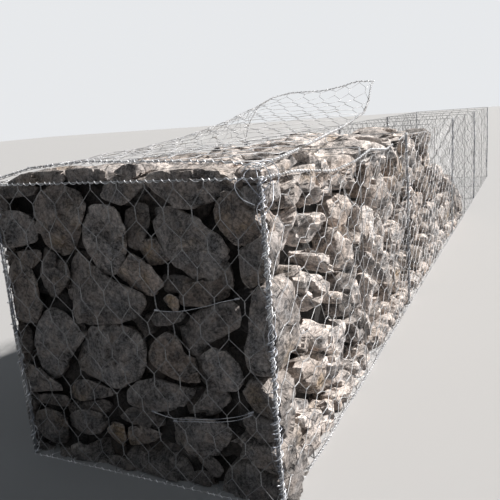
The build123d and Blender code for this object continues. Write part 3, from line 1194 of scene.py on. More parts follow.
FRONT_STONES = tuple(PlacedStone(*row) for row in (
    (0.80, 0.45, 0.12, 0.000, ((100, 998), (130, 1022), (250, 1032), (305, 1005), (250, 992), (170, 990))),
    # Painted shade: toned darker, as it lies in the shade of the slab above.
    (0.60, 0.70, 0.12, 0.030, (
        (115, 965), (170, 982), (210, 975), (240, 940), (275, 905), (240, 893), (190, 900), (140, 935),
    )),
    (0.85, 0.40, 0.12, 0.004, ((215, 985), (250, 985), (340, 935), (300, 925), (260, 940), (235, 960))),
    # Painted shade: toned darker and cooler, as a side face in shade.
    (0.50, 0.10, 0.14, 0.040, (
        (275, 1030), (310, 1045), (400, 1045), (425, 1030), (420, 990), (400, 955), (360, 950), (310, 975),
    )),
    (0.86, 0.40, 0.20, 0.000, (
        (425, 1040), (500, 1012), (600, 978), (665, 957), (620, 935), (540, 940), (460, 955), (430, 980),
    )),
    (0.74, 0.55, 0.22, 0.000, (
        (400, 930), (470, 925), (540, 895), (620, 850), (560, 832), (480, 835), (425, 860), (410, 900),
    )),
    (0.82, 0.42, 0.16, 0.002, (
        (100, 872), (160, 878), (270, 890), (297, 860), (297, 820), (272, 770), (240, 737), (205, 745),
        (170, 790), (145, 835),
    )),
    (0.80, 0.45, 0.20, 0.000, (
        (365, 825), (410, 842), (500, 812), (600, 800), (680, 775), (690, 755), (600, 742), (520, 745),
        (485, 712), (440, 708), (385, 735), (340, 765), (345, 800),
    )),
    (0.78, 0.40, 0.18, 0.004, (
        (520, 905), (570, 920), (660, 925), (705, 900), (730, 865), (700, 843), (640, 850), (570, 875),
    )),
    (0.74, 0.35, 0.14, 0.006, (
        (130, 722), (200, 715), (260, 700), (315, 670), (295, 652), (230, 655), (170, 672),
    )),
    (0.80, 0.40, 0.24, 0.000, (
        (315, 652), (370, 652), (450, 622), (530, 600), (575, 550), (585, 500), (580, 445), (545, 432),
        (500, 455), (450, 490), (390, 540), (345, 585), (310, 620),
    )),
    (0.76, 0.50, 0.18, 0.004, (
        (500, 672), (580, 670), (630, 630), (680, 585), (665, 558), (610, 575), (560, 610), (510, 640),
    )),
    (0.80, 0.45, 0.18, 0.000, (
        (600, 495), (700, 485), (745, 455), (775, 425), (730, 410), (660, 430), (610, 455),
    )),
    (0.68, 0.65, 0.18, 0.004, (
        (190, 485), (250, 478), (330, 435), (385, 402), (385, 365), (335, 362), (280, 385), (230, 425),
        (200, 455),
    )),
    (0.86, 0.42, 0.20, 0.000, (
        (430, 385), (490, 402), (560, 400), (620, 370), (680, 325), (720, 265), (700, 243), (630, 262),
        (540, 292), (470, 325), (425, 355),
    )),
    (0.66, 0.30, 0.16, 0.006, (
        (155, 330), (190, 300), (250, 245), (320, 205), (335, 182), (285, 188), (210, 212), (150, 235),
        (140, 270),
    )),
    (0.62, 0.70, 0.22, 0.002, (
        (250, 350), (310, 342), (400, 335), (460, 295), (520, 250), (550, 212), (505, 172), (440, 165),
        (390, 200), (335, 245), (280, 300),
    )),
    (0.82, 0.40, 0.22, 0.000, (
        (520, 285), (580, 252), (660, 212), (740, 155), (800, 105), (800, 62), (730, 60), (670, 90),
        (610, 130), (565, 190), (530, 240),
    )),
    (0.70, 0.45, 0.20, 0.000, ((240, 55), (330, 75), (390, 60), (425, 20), (400, -20), (240, -20))),
    (0.78, 0.40, 0.20, 0.000, ((435, 50), (520, 55), (600, 40), (630, -20), (430, -20))),
    (0.74, 0.55, 0.20, 0.000, ((640, 50), (720, 50), (810, 45), (830, -20), (640, -20))),
    (0.78, 0.50, 0.16, 0.002, (
        (215, 195), (300, 172), (380, 142), (445, 100), (485, 62), (460, 52), (400, 78), (330, 92),
        (260, 122), (215, 160),
    )),
))


@dataclass(frozen=True)
class Layer:
    """One layer of packed stones: their cut, spacing, least and greatest depth, tone and inset."""

    cut: Cut
    spacing: tuple[float, float]
    depths: tuple[float, float]
    light: float = 0.68
    inset: float = 0.0


@dataclass(frozen=True)
class DarkMass:
    """A dark lumpy mass that closes the gaps behind stones: painted shade in the gaps.

    Lumps are given as (height, length, seed), and their noise is read from a place of its own.
    """

    middle: Array
    half: Array
    normals: Array
    reaches: Array
    lumps: tuple[tuple[float, float, int], ...]
    lumps_from: Array
    swell: float = 0.0
    parts: int = 16
    sharpness: float = 24.0

    def shape(self) -> Shape:
        """Its points and faces."""
        skin, triangles = ball(self.parts)
        directions = unit(skin * self.half)
        within = np.maximum(directions @ self.normals.T / self.reaches, 0.0)
        reach = (within**self.sharpness).sum(axis=1) ** (-1.0 / self.sharpness)
        points = self.lumps_from + directions * reach[:, None]
        for height, length, seed in self.lumps:
            reach = reach + height * lattice_noise(points, length, seed)
        return self.middle + directions * (reach + self.swell)[:, None], [triangles]


class Fill:
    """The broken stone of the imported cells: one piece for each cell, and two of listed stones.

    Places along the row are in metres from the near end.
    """

    end_cut = Cut(
        parts=12,
        sharpness=48.0,
        gap=-0.002,
        facets=16,
        tilt=0.10,
        front_tilt=0.18,
        least_bevel=0.95,
        lean=0.10,
        lump=0.022,
    )
    front_cut = Cut(
        parts=12,
        sharpness=30.0,
        gap=0.010,
        tilt=0.20,
        front_tilt=0.20,
        least_bevel=0.86,
        lean=0.06,
        lump=0.045,
    )
    near_cut = Cut(parts=9, gap=0.017, least_bevel=0.84, lean=0.08, uneven=0.022, deep_share=0.35, deep=0.06)
    top_cut = Cut(parts=8, gap=0.008, front_tilt=0.20, lean=0.05, uneven=0.030, deep_share=0.20, deep=0.03)
    far_cut = Cut(parts=7, gap=0.013)
    plain_cut = Cut(parts=5)

    near = Layer(near_cut, (0.205, 0.145), (0.15, 0.22))
    middle = replace(near, cut=replace(near_cut, parts=7, gap=0.019))
    far = replace(near, cut=far_cut)
    plain = replace(near, cut=plain_cut)
    # Painted shade: a layer of stones deep behind the front, toned nearly black to stand for the shade in
    # the gaps.
    hidden = Layer(Cut(parts=4), (0.15, 0.12), (0.10, 0.12), 0.02, 0.115)
    foot = Layer(Cut(parts=7, gap=0.001, uneven=0.008, deep_share=0.0), (0.12, 0.10), (0.14, 0.16))
    near_top = Layer(top_cut, (0.26, 0.21), (0.09, 0.12), 0.72)
    middle_top = replace(near_top, spacing=(0.32, 0.25))
    far_top = replace(near_top, cut=far_cut, spacing=(0.20, 0.17))
    step = Layer(far_cut, (0.16, 0.12), (0.12, 0.16))
    last = Layer(plain_cut, (0.15, 0.12), (0.12, 0.16))
    # Painted shade: a second layer behind the near end's stones, toned dark to stand for the shade in its
    # gaps.
    second = Layer(Cut(parts=6, gap=0.002, deep_share=0.0), (0.17, 0.13), (0.08, 0.10), 0.07, 0.050)

    packed_length = 4.995
    full_length = 2.985
    long_stretches = (
        (Face.FRONT, 0.0, 1.2, near, 21),
        (Face.FRONT, 1.2, full_length, middle, 22),
        (Face.FRONT, full_length, packed_length, far, 23),
        (Face.BACK, 0.0, packed_length, plain, 24),
    )
    top_stretches = (
        (0.0, 1.25, near_top, 25),
        (1.25, 2.95, middle_top, 26),
        (3.02, packed_length, far_top, 27),
    )

    top_stone = 0.10
    low_stone = 0.05
    side_margin = 0.02
    top_margin = 0.008
    ground = -0.035
    corner_depth = 0.115
    hidden_from = 0.16
    foot_from = 0.22
    foot_height = 0.06
    foot_ground = -0.04
    second_from = 0.10
    step_rise = (0.70, 0.94)
    last_rise = (0.006, 0.13)

    corner_reach = 0.03
    top_reach = 0.995
    foot_tone = 0.68
    read_from = (-1.4387, -0.6535, 1.1697)
    tone_spread = 0.13
    darkest = 0.2
    brightest = 0.95
    warmth = (0.48, 0.22)
    least_deep = 0.3

    core_gap = 0.02
    core_start = 0.10
    core_depth = 0.125
    core_rise = 0.02
    core_drop = 0.01
    core_foot = 0.03
    core_least = 0.02
    core_lumps = ((0.030, 0.11, 31), (0.018, 0.05, 32))
    backing_low = (0.10, 0.125, 0.015)
    backing_depth = 0.10
    backing_margins = (0.005, 0.025)
    backing_lumps = ((0.014, 0.07, 33),)
    placed_crease = 20.0
    packed_crease = 34.0

    def __init__(self, material: bpy.types.Material) -> None:
        """Keep the stone's finish and start the cells' meshes."""
        self.material = material
        self.cells = [JoinedMesh() for _ in range(math.ceil(self.packed_length / WALL.cell_length))]

    def place(self, stones: tuple[PlacedStone, ...], face: Face, cut: Cut) -> JoinedMesh:
        """Cut the listed stones of a face.

        Those of the near end are darker towards the foot, and lean along the line they were read from.

        Args:
            stones: The stones.
            face: The face they lie against.
            cut: How they are cut.

        Returns:
            Their mesh.
        """
        mesh = JoinedMesh()
        cutter = StoneCutter(cut, 11)
        for stone in stones:
            outline = stone.outline
            middle = centre(outline)
            spot = face.value.spot(*middle)
            skew, light = 0.0, 1.0
            if face is Face.NEAR:
                light = self.foot_tone + (1.0 - self.foot_tone) * min(middle[1], 1.0)
                if outline[:, 0].min() >= self.corner_reach:
                    sight = spot.point - WALL.point(*self.read_from)
                    skew = np.array([sight @ spot.along, sight @ spot.across]) / -(sight @ spot.outward)
            shape = cutter.stone(spot, outline - middle, stone.depth, stone.recess + PANEL_GAP, skew)
            mesh.add(shape, stone.tone * light, stone.warmth)
        return mesh

    def held_sites(self, face: Face) -> tuple[tuple[float, float], ...]:
        """Places on another face that listed stones fill.

        Args:
            face: The face.

        Returns:
            Sites as (along, up), or (along, across) for the top.
        """
        sites = []
        for stone in END_STONES:
            outline = stone.outline
            across, up = centre(outline)
            meets, place = {
                Face.FRONT: (outline[:, 0].min() < self.corner_reach, up),
                Face.BACK: (outline[:, 0].max() > 1.0 - self.corner_reach, up),
                Face.TOP: (outline[:, 1].max() > self.top_reach, across),
            }[face]
            if meets:
                sites.append((stone.depth * 0.5, place))
        for stone in FRONT_STONES if face is Face.FRONT else ():
            outline = stone.outline
            middle = centre(outline)
            first = outline[np.linalg.norm(outline - middle, axis=1).argmax()]
            second = outline[np.linalg.norm(outline - first, axis=1).argmax()]
            sites += [tuple(middle), tuple(0.5 * (middle + first)), tuple(0.5 * (middle + second))]
        return tuple(sites)

    def pack(self, side: Side | Heap, layer: Layer, packing: Packing) -> None:
        """Pack one side of the cells with stones.

        Args:
            side: The side.
            layer: How the stones are cut and laid.
            packing: The stones' outlines on the side.
        """
        cut = layer.cut
        cutter = StoneCutter(cut, packing.seed + 100)
        random = cutter.random
        for outline in packing.outlines():
            middle = centre(outline)
            spot = side.spot(*middle)
            recess = PANEL_GAP + layer.inset + random.uniform(0.0, cut.uneven)
            recess += (random.random() < cut.deep_share) * random.uniform(self.least_deep, 1.0) * cut.deep
            shape = cutter.stone(spot, outline - middle, random.uniform(*layer.depths), recess)
            tone = random.normal(layer.light, self.tone_spread)
            # Layers toned darker than `darkest`, which are painted shade, keep their tone.
            tone = float(np.clip(tone, min(layer.light, self.darkest), self.brightest))
            warmth = float(np.clip(random.normal(*self.warmth), 0.0, 1.0))
            cell = int((spot.point[0] - WALL.near_x) / WALL.cell_length)
            self.cells[min(cell, len(self.cells) - 1)].add(shape, tone, warmth)

    def ceiling(self, along: float) -> float:
        """Upper end of the front and back at a place along the row, under the top's stones."""
        top_stone = self.top_stone if along < self.full_length else self.low_stone
        return Face.TOP.value.height(along) - top_stone

    def long_side(self, face: Face, start: float, end: float, layer: Layer, seed: int) -> None:
        """Pack a stretch of the front or the back, and what shows between the front's stones.

        Args:
            face: The front or the back.
            start: Where the stretch starts along the row.
            end: Where it ends.
            layer: How its stones are cut and laid.
            seed: Which packing it gets.
        """
        first = start == 0.0
        high = (end, WALL.height)
        low = (max(start, self.corner_depth), self.ground)
        held = self.held_sites(face) if first else ()
        taken = tuple(stone.outline for stone in FRONT_STONES) if first and face is Face.FRONT else ()
        packing = Packing(low, high, layer.spacing, seed, held, self.ceiling, taken)
        self.pack(face.value, layer, packing)
        if face is Face.FRONT:
            low = (max(start, self.hidden_from), self.ground)
            packing = Packing(low, high, self.hidden.spacing, seed + 50, (), self.ceiling)
            self.pack(face.value, self.hidden, packing)
            low, high = (max(start, self.foot_from), self.foot_ground), (end, self.foot_height)
            packing = Packing(low, high, self.foot.spacing, seed + 60, (), self.ceiling)
            self.pack(face.value, self.foot, packing)

    def cross_side(self, along: float, rise: tuple[float, float], layer: Layer, seed: int) -> None:
        """Pack the far side of a cell that stands above the next one.

        Args:
            along: Where the side stands along the row.
            rise: Heights of its lower and upper end.
            layer: How its stones are cut and laid.
            seed: Which packing it gets.
        """
        side = Side(WALL.point(along, 0.0, 0.0), Y_AXIS, Z_AXIS, X_AXIS)
        low, high = (self.side_margin, rise[0]), (1.0 - self.side_margin, rise[1])
        self.pack(side, layer, Packing(low, high, layer.spacing, seed))

    def core(self, cell: int) -> DarkMass:
        """The middle of a cell, counted from 0, under the slope of its stones."""
        start = cell * WALL.cell_length + self.core_gap if cell else self.core_start
        end = (cell + 1) * WALL.cell_length - self.core_gap
        low, high = (Face.TOP.value.height(x) for x in (start + self.core_foot, end - self.core_foot))
        middle = WALL.point((start + end) / 2, WALL.width / 2, (low + high) / 4 - self.core_drop)
        slope = (low - high, 0.0, end - start)
        normals = unit(np.array([(1, 0, 0), (-1, 0, 0), (0, 1, 0), (0, -1, 0), slope, (0, 0, -1)], float))
        half_length, half_width = (end - start) / 2, WALL.width / 2 - self.core_depth
        upward = middle[2] - self.core_depth + self.core_rise
        downward = middle[2] - self.core_foot
        reaches = np.array([half_length, half_length, half_width, half_width, upward, downward])
        reaches = np.maximum(reaches, self.core_least)
        half = np.array([half_length, half_width, middle[2]])
        return DarkMass(middle, half, normals, reaches, self.core_lumps, middle, -self.core_gap)

    def backing(self) -> DarkMass:
        """A mass behind the near end's stones that closes the gaps at its edges."""
        low = WALL.point(*self.backing_low)
        side, top = self.backing_margins
        along = self.backing_low[0] + self.backing_depth
        high = WALL.point(along, WALL.width - side, WALL.height - top)
        half = (high - low) / 2
        normals = np.concatenate([np.eye(3), -np.eye(3)])
        lumps_from = np.zeros(3)
        return DarkMass(low + half, half, normals, np.tile(half, 2), self.backing_lumps, lumps_from)

    def build(self) -> list[bpy.types.Object]:
        """Cut and pack all stones and make the pieces."""
        for stretch in self.long_stretches:
            self.long_side(*stretch)
        for start, end, layer, seed in self.top_stretches:
            low, high = (start, self.top_margin), (end, WALL.width - self.top_margin)
            held = self.held_sites(Face.TOP) if start == 0.0 else ()
            self.pack(Face.TOP.value, layer, Packing(low, high, layer.spacing, seed, held))
        self.cross_side(self.full_length, self.step_rise, self.step, 28)
        self.cross_side(self.packed_length, self.last_rise, self.last, 29)
        # Painted shade: the backing gets tone 0, nearly black.
        self.cells[0].add(self.backing().shape(), 0.0)
        low, high = (self.second_from, self.ground), (1.0 - self.side_margin, 1.0)
        self.pack(Face.NEAR.value, self.second, Packing(low, high, self.second.spacing, 61))
        by_hand = (
            ("near_end_stones", self.place(END_STONES, Face.NEAR, self.end_cut)),
            ("near_front_stones", self.place(FRONT_STONES, Face.FRONT, self.front_cut)),
        )
        pieces = []
        for name, mesh in by_hand:
            node, crease = "stone_fill_1", self.placed_crease
            pieces.append(dress(mesh, name, self.material, "broken_stone", node, crease=crease))
        for cell, mesh in enumerate(self.cells):
            # Painted shade: the core gets tone 0, nearly black, so the gaps between stones read as shade.
            mesh.add(self.core(cell).shape(), 0.0)
            name, node, crease = f"cell_{cell + 1}_stones", f"stone_fill_{cell + 1}", self.packed_crease
            pieces.append(dress(mesh, name, self.material, "broken_stone", node, crease=crease))
        return pieces


# Netting


@dataclass
class Sheet:
    """A stretch of netting in space: its shape, and how much it is pulled about and bulges.

    Near its border it is pulled about less, and bulges less. The lengths are those of the swells.
    """

    width: float
    height: float
    shape: Callable[[Array, Array], Array]
    seed: int
    pull: float = 0.008
    bulge: float = 0.006
    facing: float = 1.0

    border = 0.07
    pull_lengths = (0.13, 0.15)
    bulge_length = 0.21
    border_bulge = 0.35
    step = 0.01

    def at(self, u: Array, v: Array, lift: Array | float = 0.0) -> tuple[Array, Array]:
        """Places on the sheet.

        Args:
            u: Metres along the sheet.
            v: Metres across it.
            lift: Metres out of it.

        Returns:
            The places, and the outward direction at each.
        """
        flat = np.stack([u, v, np.zeros_like(u)], axis=-1)
        edge = np.minimum(np.minimum(u, self.width - u), np.minimum(v, self.height - v))
        free = ease(edge / self.border)
        u = u + self.pull * free * lattice_noise(flat, self.pull_lengths[0], self.seed)
        v = v + self.pull * free * lattice_noise(flat, self.pull_lengths[1], self.seed + 1)
        place = self.shape(u, v)
        along = self.shape(u + self.step, v) - self.shape(u - self.step, v)
        across = self.shape(u, v + self.step) - self.shape(u, v - self.step)
        outward = self.facing * unit(np.cross(along, across))
        swell = self.bulge * (self.border_bulge + (1.0 - self.border_bulge) * free)
        swell = swell * lattice_noise(flat, self.bulge_length, self.seed + 2)
        return place + (lift + swell)[..., None] * outward, outward


def flat_shape(origin: Array, along: Array, across: Array) -> Callable[[Array, Array], Array]:
    """A flat sheet's shape, from one corner and its two directions."""
    return lambda u, v: origin + u[..., None] * along + v[..., None] * across


@dataclass(frozen=True)
class Weave:
    """How netting is drawn: its twists' points and turns, its wires' sides, and its sizes in metres.

    The outermost wires lie inside the edge by `inset` times the selvedge wire's radius.
    """

    twist_points: int
    turns: float
    sides: int
    edge_coil: bool = False
    pitch: float = 0.10
    row: float = 0.092
    twist: float = 0.042
    wire: float = 0.00135
    selvedge: float = 0.0019
    selvedge_tone: float = 0.2
    selvedge_step: float = 0.04
    inset: float = 1.3
    coil: Coil = Coil(0.0045, 0.026, 0.0015)
    coil_phase: float = 1.3


class WeaveGrade(Enum):
    """Grades of netting, from the panels that are seen close by to the far ones."""

    CLOSE = Weave(13, 2.0, 5, True, wire=0.0010)
    NEAR = Weave(9, 1.5, 4, True, wire=0.0013)
    FAR = Weave(2, 0.0, 3)


@dataclass
class Netting:
    """One panel of hexagonal netting with its selvedge wires."""

    node: str
    sheet: Sheet
    grade: WeaveGrade
    tone: float = 0.8
    turned: bool = False

    def wires(self) -> tuple[Array, Array]:
        """Centre lines of the netting's wires.

        Each wire is twisted by turns with its neighbour on one side and on the other.

        Returns:
            The lines, and the outward direction along them.
        """
        weave, sheet = self.grade.value, self.sheet
        width, height = (sheet.height, sheet.width) if self.turned else (sheet.width, sheet.height)
        gaps = max(2, round(2 * width / weave.pitch))
        rows = max(2, round(height / weave.row))
        wire = np.arange(gaps + 1)[:, None, None]
        row = np.arange(rows + 1)[None, :, None]
        share = np.linspace(0.0, 1.0, weave.twist_points)[None, None, :]
        side = np.where((wire + row) % 2 == 0, -1.0, 1.0)
        inset = weave.inset * weave.selvedge
        twist_u = np.clip((wire - 0.5 * side) * (width / gaps), inset, width - inset)
        twist_v = np.clip(row * (height / rows) + (share - 0.5) * weave.twist, 0.0, height)
        angle = FULL_TURN * weave.turns * share
        u = twist_u + side * np.cos(angle) * weave.wire
        v = np.broadcast_to(twist_v, u.shape)
        lift = np.broadcast_to(side * np.sin(angle) * weave.wire, u.shape)
        first, second = (v, u) if self.turned else (u, v)
        flat = (gaps + 1, -1)
        return sheet.at(first.reshape(flat), second.reshape(flat), lift.reshape(flat))

    def edges(self) -> list[Array]:
        """Centre lines of the four selvedge wires."""
        sheet, step = self.sheet, self.grade.value.selvedge_step
        spans = (sheet.width, sheet.height)
        along, across = (np.linspace(0.0, span, max(8, int(span / step))) for span in spans)
        lines = [(along, np.full_like(along, fixed)) for fixed in (0.0, sheet.height)]
        lines += [(np.full_like(across, fixed), across) for fixed in (0.0, sheet.width)]
        return [sheet.at(u, v)[0] for u, v in lines]

    def build(self, material: bpy.types.Material) -> bpy.types.Object:
        """Make the panel's piece."""
        weave = self.grade.value
        mesh = JoinedMesh()
        lines, outward = self.wires()
        mesh.add(tube(lines, outward, weave.wire, weave.sides), self.tone)
        normal = outward[0, 0]
        for number, line in enumerate(self.edges()):
            selvedge = tube(line[None], normal, weave.selvedge, max(4, weave.sides))
            mesh.add(selvedge, min(self.tone, weave.selvedge_tone))
            if weave.edge_coil:
                phase, seed = number * weave.coil_phase, self.sheet.seed + number
                # Painted glints: the selvedge coils are toned brightest, to stand for the sparkle of sunlit
                # twists.
                mesh.add(weave.coil.wind(line, normal, phase, seed), 1.0)
        return dress(mesh, f"{self.node}_netting", material, "netting_wire", self.node)


@dataclass(frozen=True)
class LidShape:
    """The near basket's lid: flat over the stones, then lifted towards its far end.

    Sections run from the back edge to the front edge, as (share of the width, back from the
    front face, up). The lines along the row give how far each edge is lifted, and how far the
    front edge is pulled back.
    """

    closed: tuple[Triple, ...] = (
        (0.0, 1.0, 1.0),
        (0.06, 0.965, 1.018),
        (0.22, 0.80, 1.052),
        (0.45, 0.56, 1.062),
        (0.70, 0.30, 1.056),
        (0.90, 0.10, 1.046),
        (1.0, 0.002, 1.030),
    )
    lifted: tuple[Triple, ...] = (
        (0.0, 1.0, 1.0),
        (0.10, 0.97, 1.10),
        (0.24, 0.89, 1.21),
        (0.35, 0.79, 1.25),
        (0.47, 0.68, 1.268),
        (0.67, 0.48, 1.262),
        (0.80, 0.36, 1.28),
        (0.90, 0.28, 1.30),
        (1.0, 0.18, 1.29),
    )
    rear_lift: Outline = ((0.0, 0.0), (0.5, 0.05), (0.95, 0.28), (1.45, 0.62), (1.96, 1.0), (2.0, 1.0))
    front_lift: Outline = (
        (0.0, 0.0),
        (0.3, 0.04),
        (0.6, 0.10),
        (0.9, 0.15),
        (1.15, 0.19),
        (1.4, 0.27),
        (1.62, 0.38),
        (1.84, 0.62),
        (1.95, 0.92),
        (2.0, 1.0),
    )
    front_pull: Outline = (
        (0.0, 0.0),
        (0.3, 0.022),
        (0.6, 0.042),
        (0.9, 0.073),
        (1.4, 0.09),
        (1.84, 0.058),
        (2.0, 0.0),
    )

    def __call__(self, u: Array, v: Array) -> Array:
        """Places on the lid, u metres along the row and v metres from its back edge."""
        share = np.clip(v / WALL.width, 0.0, 1.0)
        spare = v / WALL.width - share
        places = []
        for section in (self.closed, self.lifted):
            along_section, across, up = zip(*section)
            across = np.interp(share, along_section, across) - spare
            places.append(np.stack([across, np.interp(share, along_section, up)]))
        lines = (self.rear_lift, self.front_lift, self.front_pull)
        rear, front, pull = (np.interp(u, *zip(*line)) for line in lines)
        lift = rear + (front - rear) * share
        across, up = places[0] + (places[1] - places[0]) * lift
        across = across + pull * share**2
        return np.stack([WALL.near_x + u, WALL.front_y + across, up], axis=-1)


@dataclass(frozen=True)
class SaggingRim:
    """The front or back of a basket: an upright sheet whose upper edge waves where no lid holds it.

    It leans in and out along the row, but for its first stretch.
    """

    start: float
    across: float
    rim: Outline
    lean: float = 0.012
    waves: float = 4.3
    upright: float = 0.2

    def __call__(self, u: Array, v: Array) -> Array:
        """Places on the panel, u metres along it and v metres up."""
        along = self.start + u
        height = np.interp(along, *zip(*self.rim))
        lean = self.lean * np.sin(along * self.waves) * (v / WALL.height) ** 2 * ease(u / self.upright)
        across = WALL.front_y + self.across + lean
        return np.stack([WALL.near_x + along, across, v * height / WALL.height], axis=-1)


class Baskets:
    """The netting panels of all baskets. Each looseness is how far a panel is pulled, and bulges."""

    wire_inset = 0.002
    cross_inset = 0.004
    near_loose = (0.032, 0.012)
    packed_loose = (0.020, 0.007)
    open_loose = (0.014, 0.010)
    base_loose = (0.004, 0.0)
    cross_bulge = 0.004
    near_end_pull = 0.013
    lid_loose = (0.015, 0.009)
    open_lid_loose = (0.010, 0.008)
    packed_tone = 0.45
    open_tone = -0.1
    near_tone = 0.15
    # Painted shade: the near end's netting is toned darker than the front's, as it stands in shade.
    near_end_tone = 0.0
    lid_tone = 0.25
    packed_baskets = 2
    front_rim: Outline = (
        (0.0, 1.0),
        (0.3, 0.985),
        (0.64, 0.945),
        (0.9, 0.955),
        (1.13, 0.98),
        (1.48, 0.95),
        (1.79, 0.965),
        (2.0, 0.99),
        (2.8, 0.965),
        (3.4, 0.985),
        (4.0, 1.0),
        (4.5, 0.985),
        (5.0, 1.0),
        (8.0, 1.0),
    )
    back_rim: Outline = ((0.0, 1.0), (3.0, 0.995), (3.5, 0.985), (5.0, 1.0), (5.5, 0.985), (8.0, 1.0))

    def __init__(self, material: bpy.types.Material) -> None:
        """Keep the wire's finish."""
        self.material = material

    def panels(self, number: int) -> list[Netting]:
        """One basket's seven panels.

        Args:
            number: Which basket, from 1.

        Returns:
            Its panels.
        """
        length, width, height, inset = WALL.basket_length, WALL.width, WALL.height, self.wire_inset
        start = (number - 1) * length
        title, seed = f"basket_{number}", 40 + 10 * number
        first, packed = number == 1, number <= self.packed_baskets
        near, far = WeaveGrade.NEAR if first else WeaveGrade.FAR, WeaveGrade.FAR
        loose = self.packed_loose if packed else self.open_loose
        tone = self.packed_tone if packed else self.open_tone
        front = SaggingRim(start, inset, self.front_rim)
        front = Sheet(length, height, front, seed, *(self.near_loose if first else loose))
        back = SaggingRim(start, width - inset, self.back_rim)
        back = Sheet(length, height, back, seed + 1, *loose, -1.0)
        base = flat_shape(WALL.point(start, 0.0, inset), X_AXIS, Y_AXIS)
        base = Sheet(length, width, base, seed + 2, *self.base_loose, -1.0)
        panels = [
            Netting(f"{title}_front", front, near, self.near_tone if first else tone, True),
            Netting(f"{title}_back", back, far, tone, True),
            Netting(f"{title}_base", base, far, turned=True),
        ]
        crosses = (("near_end", inset), ("diaphragm", length / 2), ("far_end", length - inset))
        for offset, (label, along) in enumerate(crosses):
            shape = flat_shape(WALL.point(start + along, self.cross_inset, 0.0), Y_AXIS, Z_AXIS)
            close = first and label == "near_end"
            pull = self.near_end_pull if close else loose[0]
            across = width - 2 * self.cross_inset
            sheet = Sheet(across, height, shape, seed + 3 + offset, pull, self.cross_bulge, -1.0)
            grade = WeaveGrade.CLOSE if close else far
            panels.append(Netting(f"{title}_{label}", sheet, grade, self.near_end_tone if close else tone))
        return [*panels, self.lid(number, seed + 6)]

    def lid(self, number: int, seed: int) -> Netting:
        """A basket's lid: draped over the stones on the first one, hung open behind the others.

        Args:
            number: Which basket, from 1.
            seed: Which unevenness the lid has.

        Returns:
            The lid's panel.
        """
        title = f"basket_{number}_lid"
        if number == 1:
            sheet = Sheet(WALL.basket_length, WALL.width, LidShape(), seed, *self.lid_loose, -1.0)
            return Netting(title, sheet, WeaveGrade.NEAR, self.lid_tone, True)
        low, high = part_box(title)
        foot = np.array([low.x, high.y - self.wire_inset, low.z + self.wire_inset])
        head = np.array([low.x, low.y + self.wire_inset, high.z - self.wire_inset])
        shape = flat_shape(foot, X_AXIS, unit(head - foot))
        height = float(np.linalg.norm(head - foot))
        sheet = Sheet(high.x - low.x, height, shape, seed, *self.open_lid_loose, -1.0)
        return Netting(title, sheet, WeaveGrade.FAR, self.open_tone, True)

    def build(self) -> list[bpy.types.Object]:
        """Make all panels."""
        pieces = []
        for number in range(1, WALL.baskets + 1):
            pieces += [panel.build(self.material) for panel in self.panels(number)]
        return pieces


# Lacing


@dataclass
class LacedEdge:
    """An upright edge: the panels' selvedge wires in a bundle, with lacing wound round them all.

    The line wanders by `wander` in swells of `wander_lengths`, and the wires turn in the bundle.
    Each row of `lacing` is its room round the bundle, the length of a turn and how uneven it is, and
    the strands' tones are for a far edge and for a close one.
    """

    node: str
    close: bool

    strands = 4
    strand_tones = (0.3, -0.1)
    strand_wire = 0.002
    bundle = 0.0062
    strand_reach = 0.62
    wander = 0.005
    wander_lengths = (0.19, 0.23)
    turn = 2.2
    turn_length = 0.16
    lacing = ((0.0060, 0.046, 0.45), (0.0030, 0.031, 0.40))
    lacing_wire = 0.00135
    # Painted glints: the lacing is toned bright against the strands, to stand for sunlit sparkle.
    lacing_tone = 0.9

    def build(self, material: bpy.types.Material) -> bpy.types.Object:
        """Make the edge's piece."""
        low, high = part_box(self.node)
        middle = (np.array(low) + np.array(high)) / 2
        sides, points, steps = (5, 9, 60) if self.close else (3, 6, 16)
        mesh = JoinedMesh()
        seed = int(abs(middle[0]) * 100 + (middle[1] > 0))
        rise = np.linspace(low.z, high.z, steps)
        along = noise_line(rise)
        line = [
            middle[axis] + self.wander * lattice_noise(along, self.wander_lengths[axis], seed + axis)
            for axis in range(2)
        ]
        line = np.stack([*line, rise], axis=-1)
        turn = self.turn * lattice_noise(along, self.turn_length, seed + 2)
        for strand in range(self.strands):
            angle = (strand * FULL_TURN / self.strands + turn)[:, None]
            strand_line = line + self.bundle * self.strand_reach * around(angle, X_AXIS, Y_AXIS)
            strand_wire = tube(strand_line[None], X_AXIS, self.strand_wire, sides)
            mesh.add(strand_wire, self.strand_tones[self.close])
        lacing = self.lacing if self.close else self.lacing[:1]
        for number, (room, turn_length, uneven) in enumerate(lacing):
            coil = Coil(self.bundle + room, turn_length, self.lacing_wire, points, sides, uneven)
            mesh.add(coil.wind(line, X_AXIS, 2.0 * number, seed + 5 + number), self.lacing_tone)
        return dress(mesh, f"{self.node}_lacing", material, "lacing_wire", self.node)


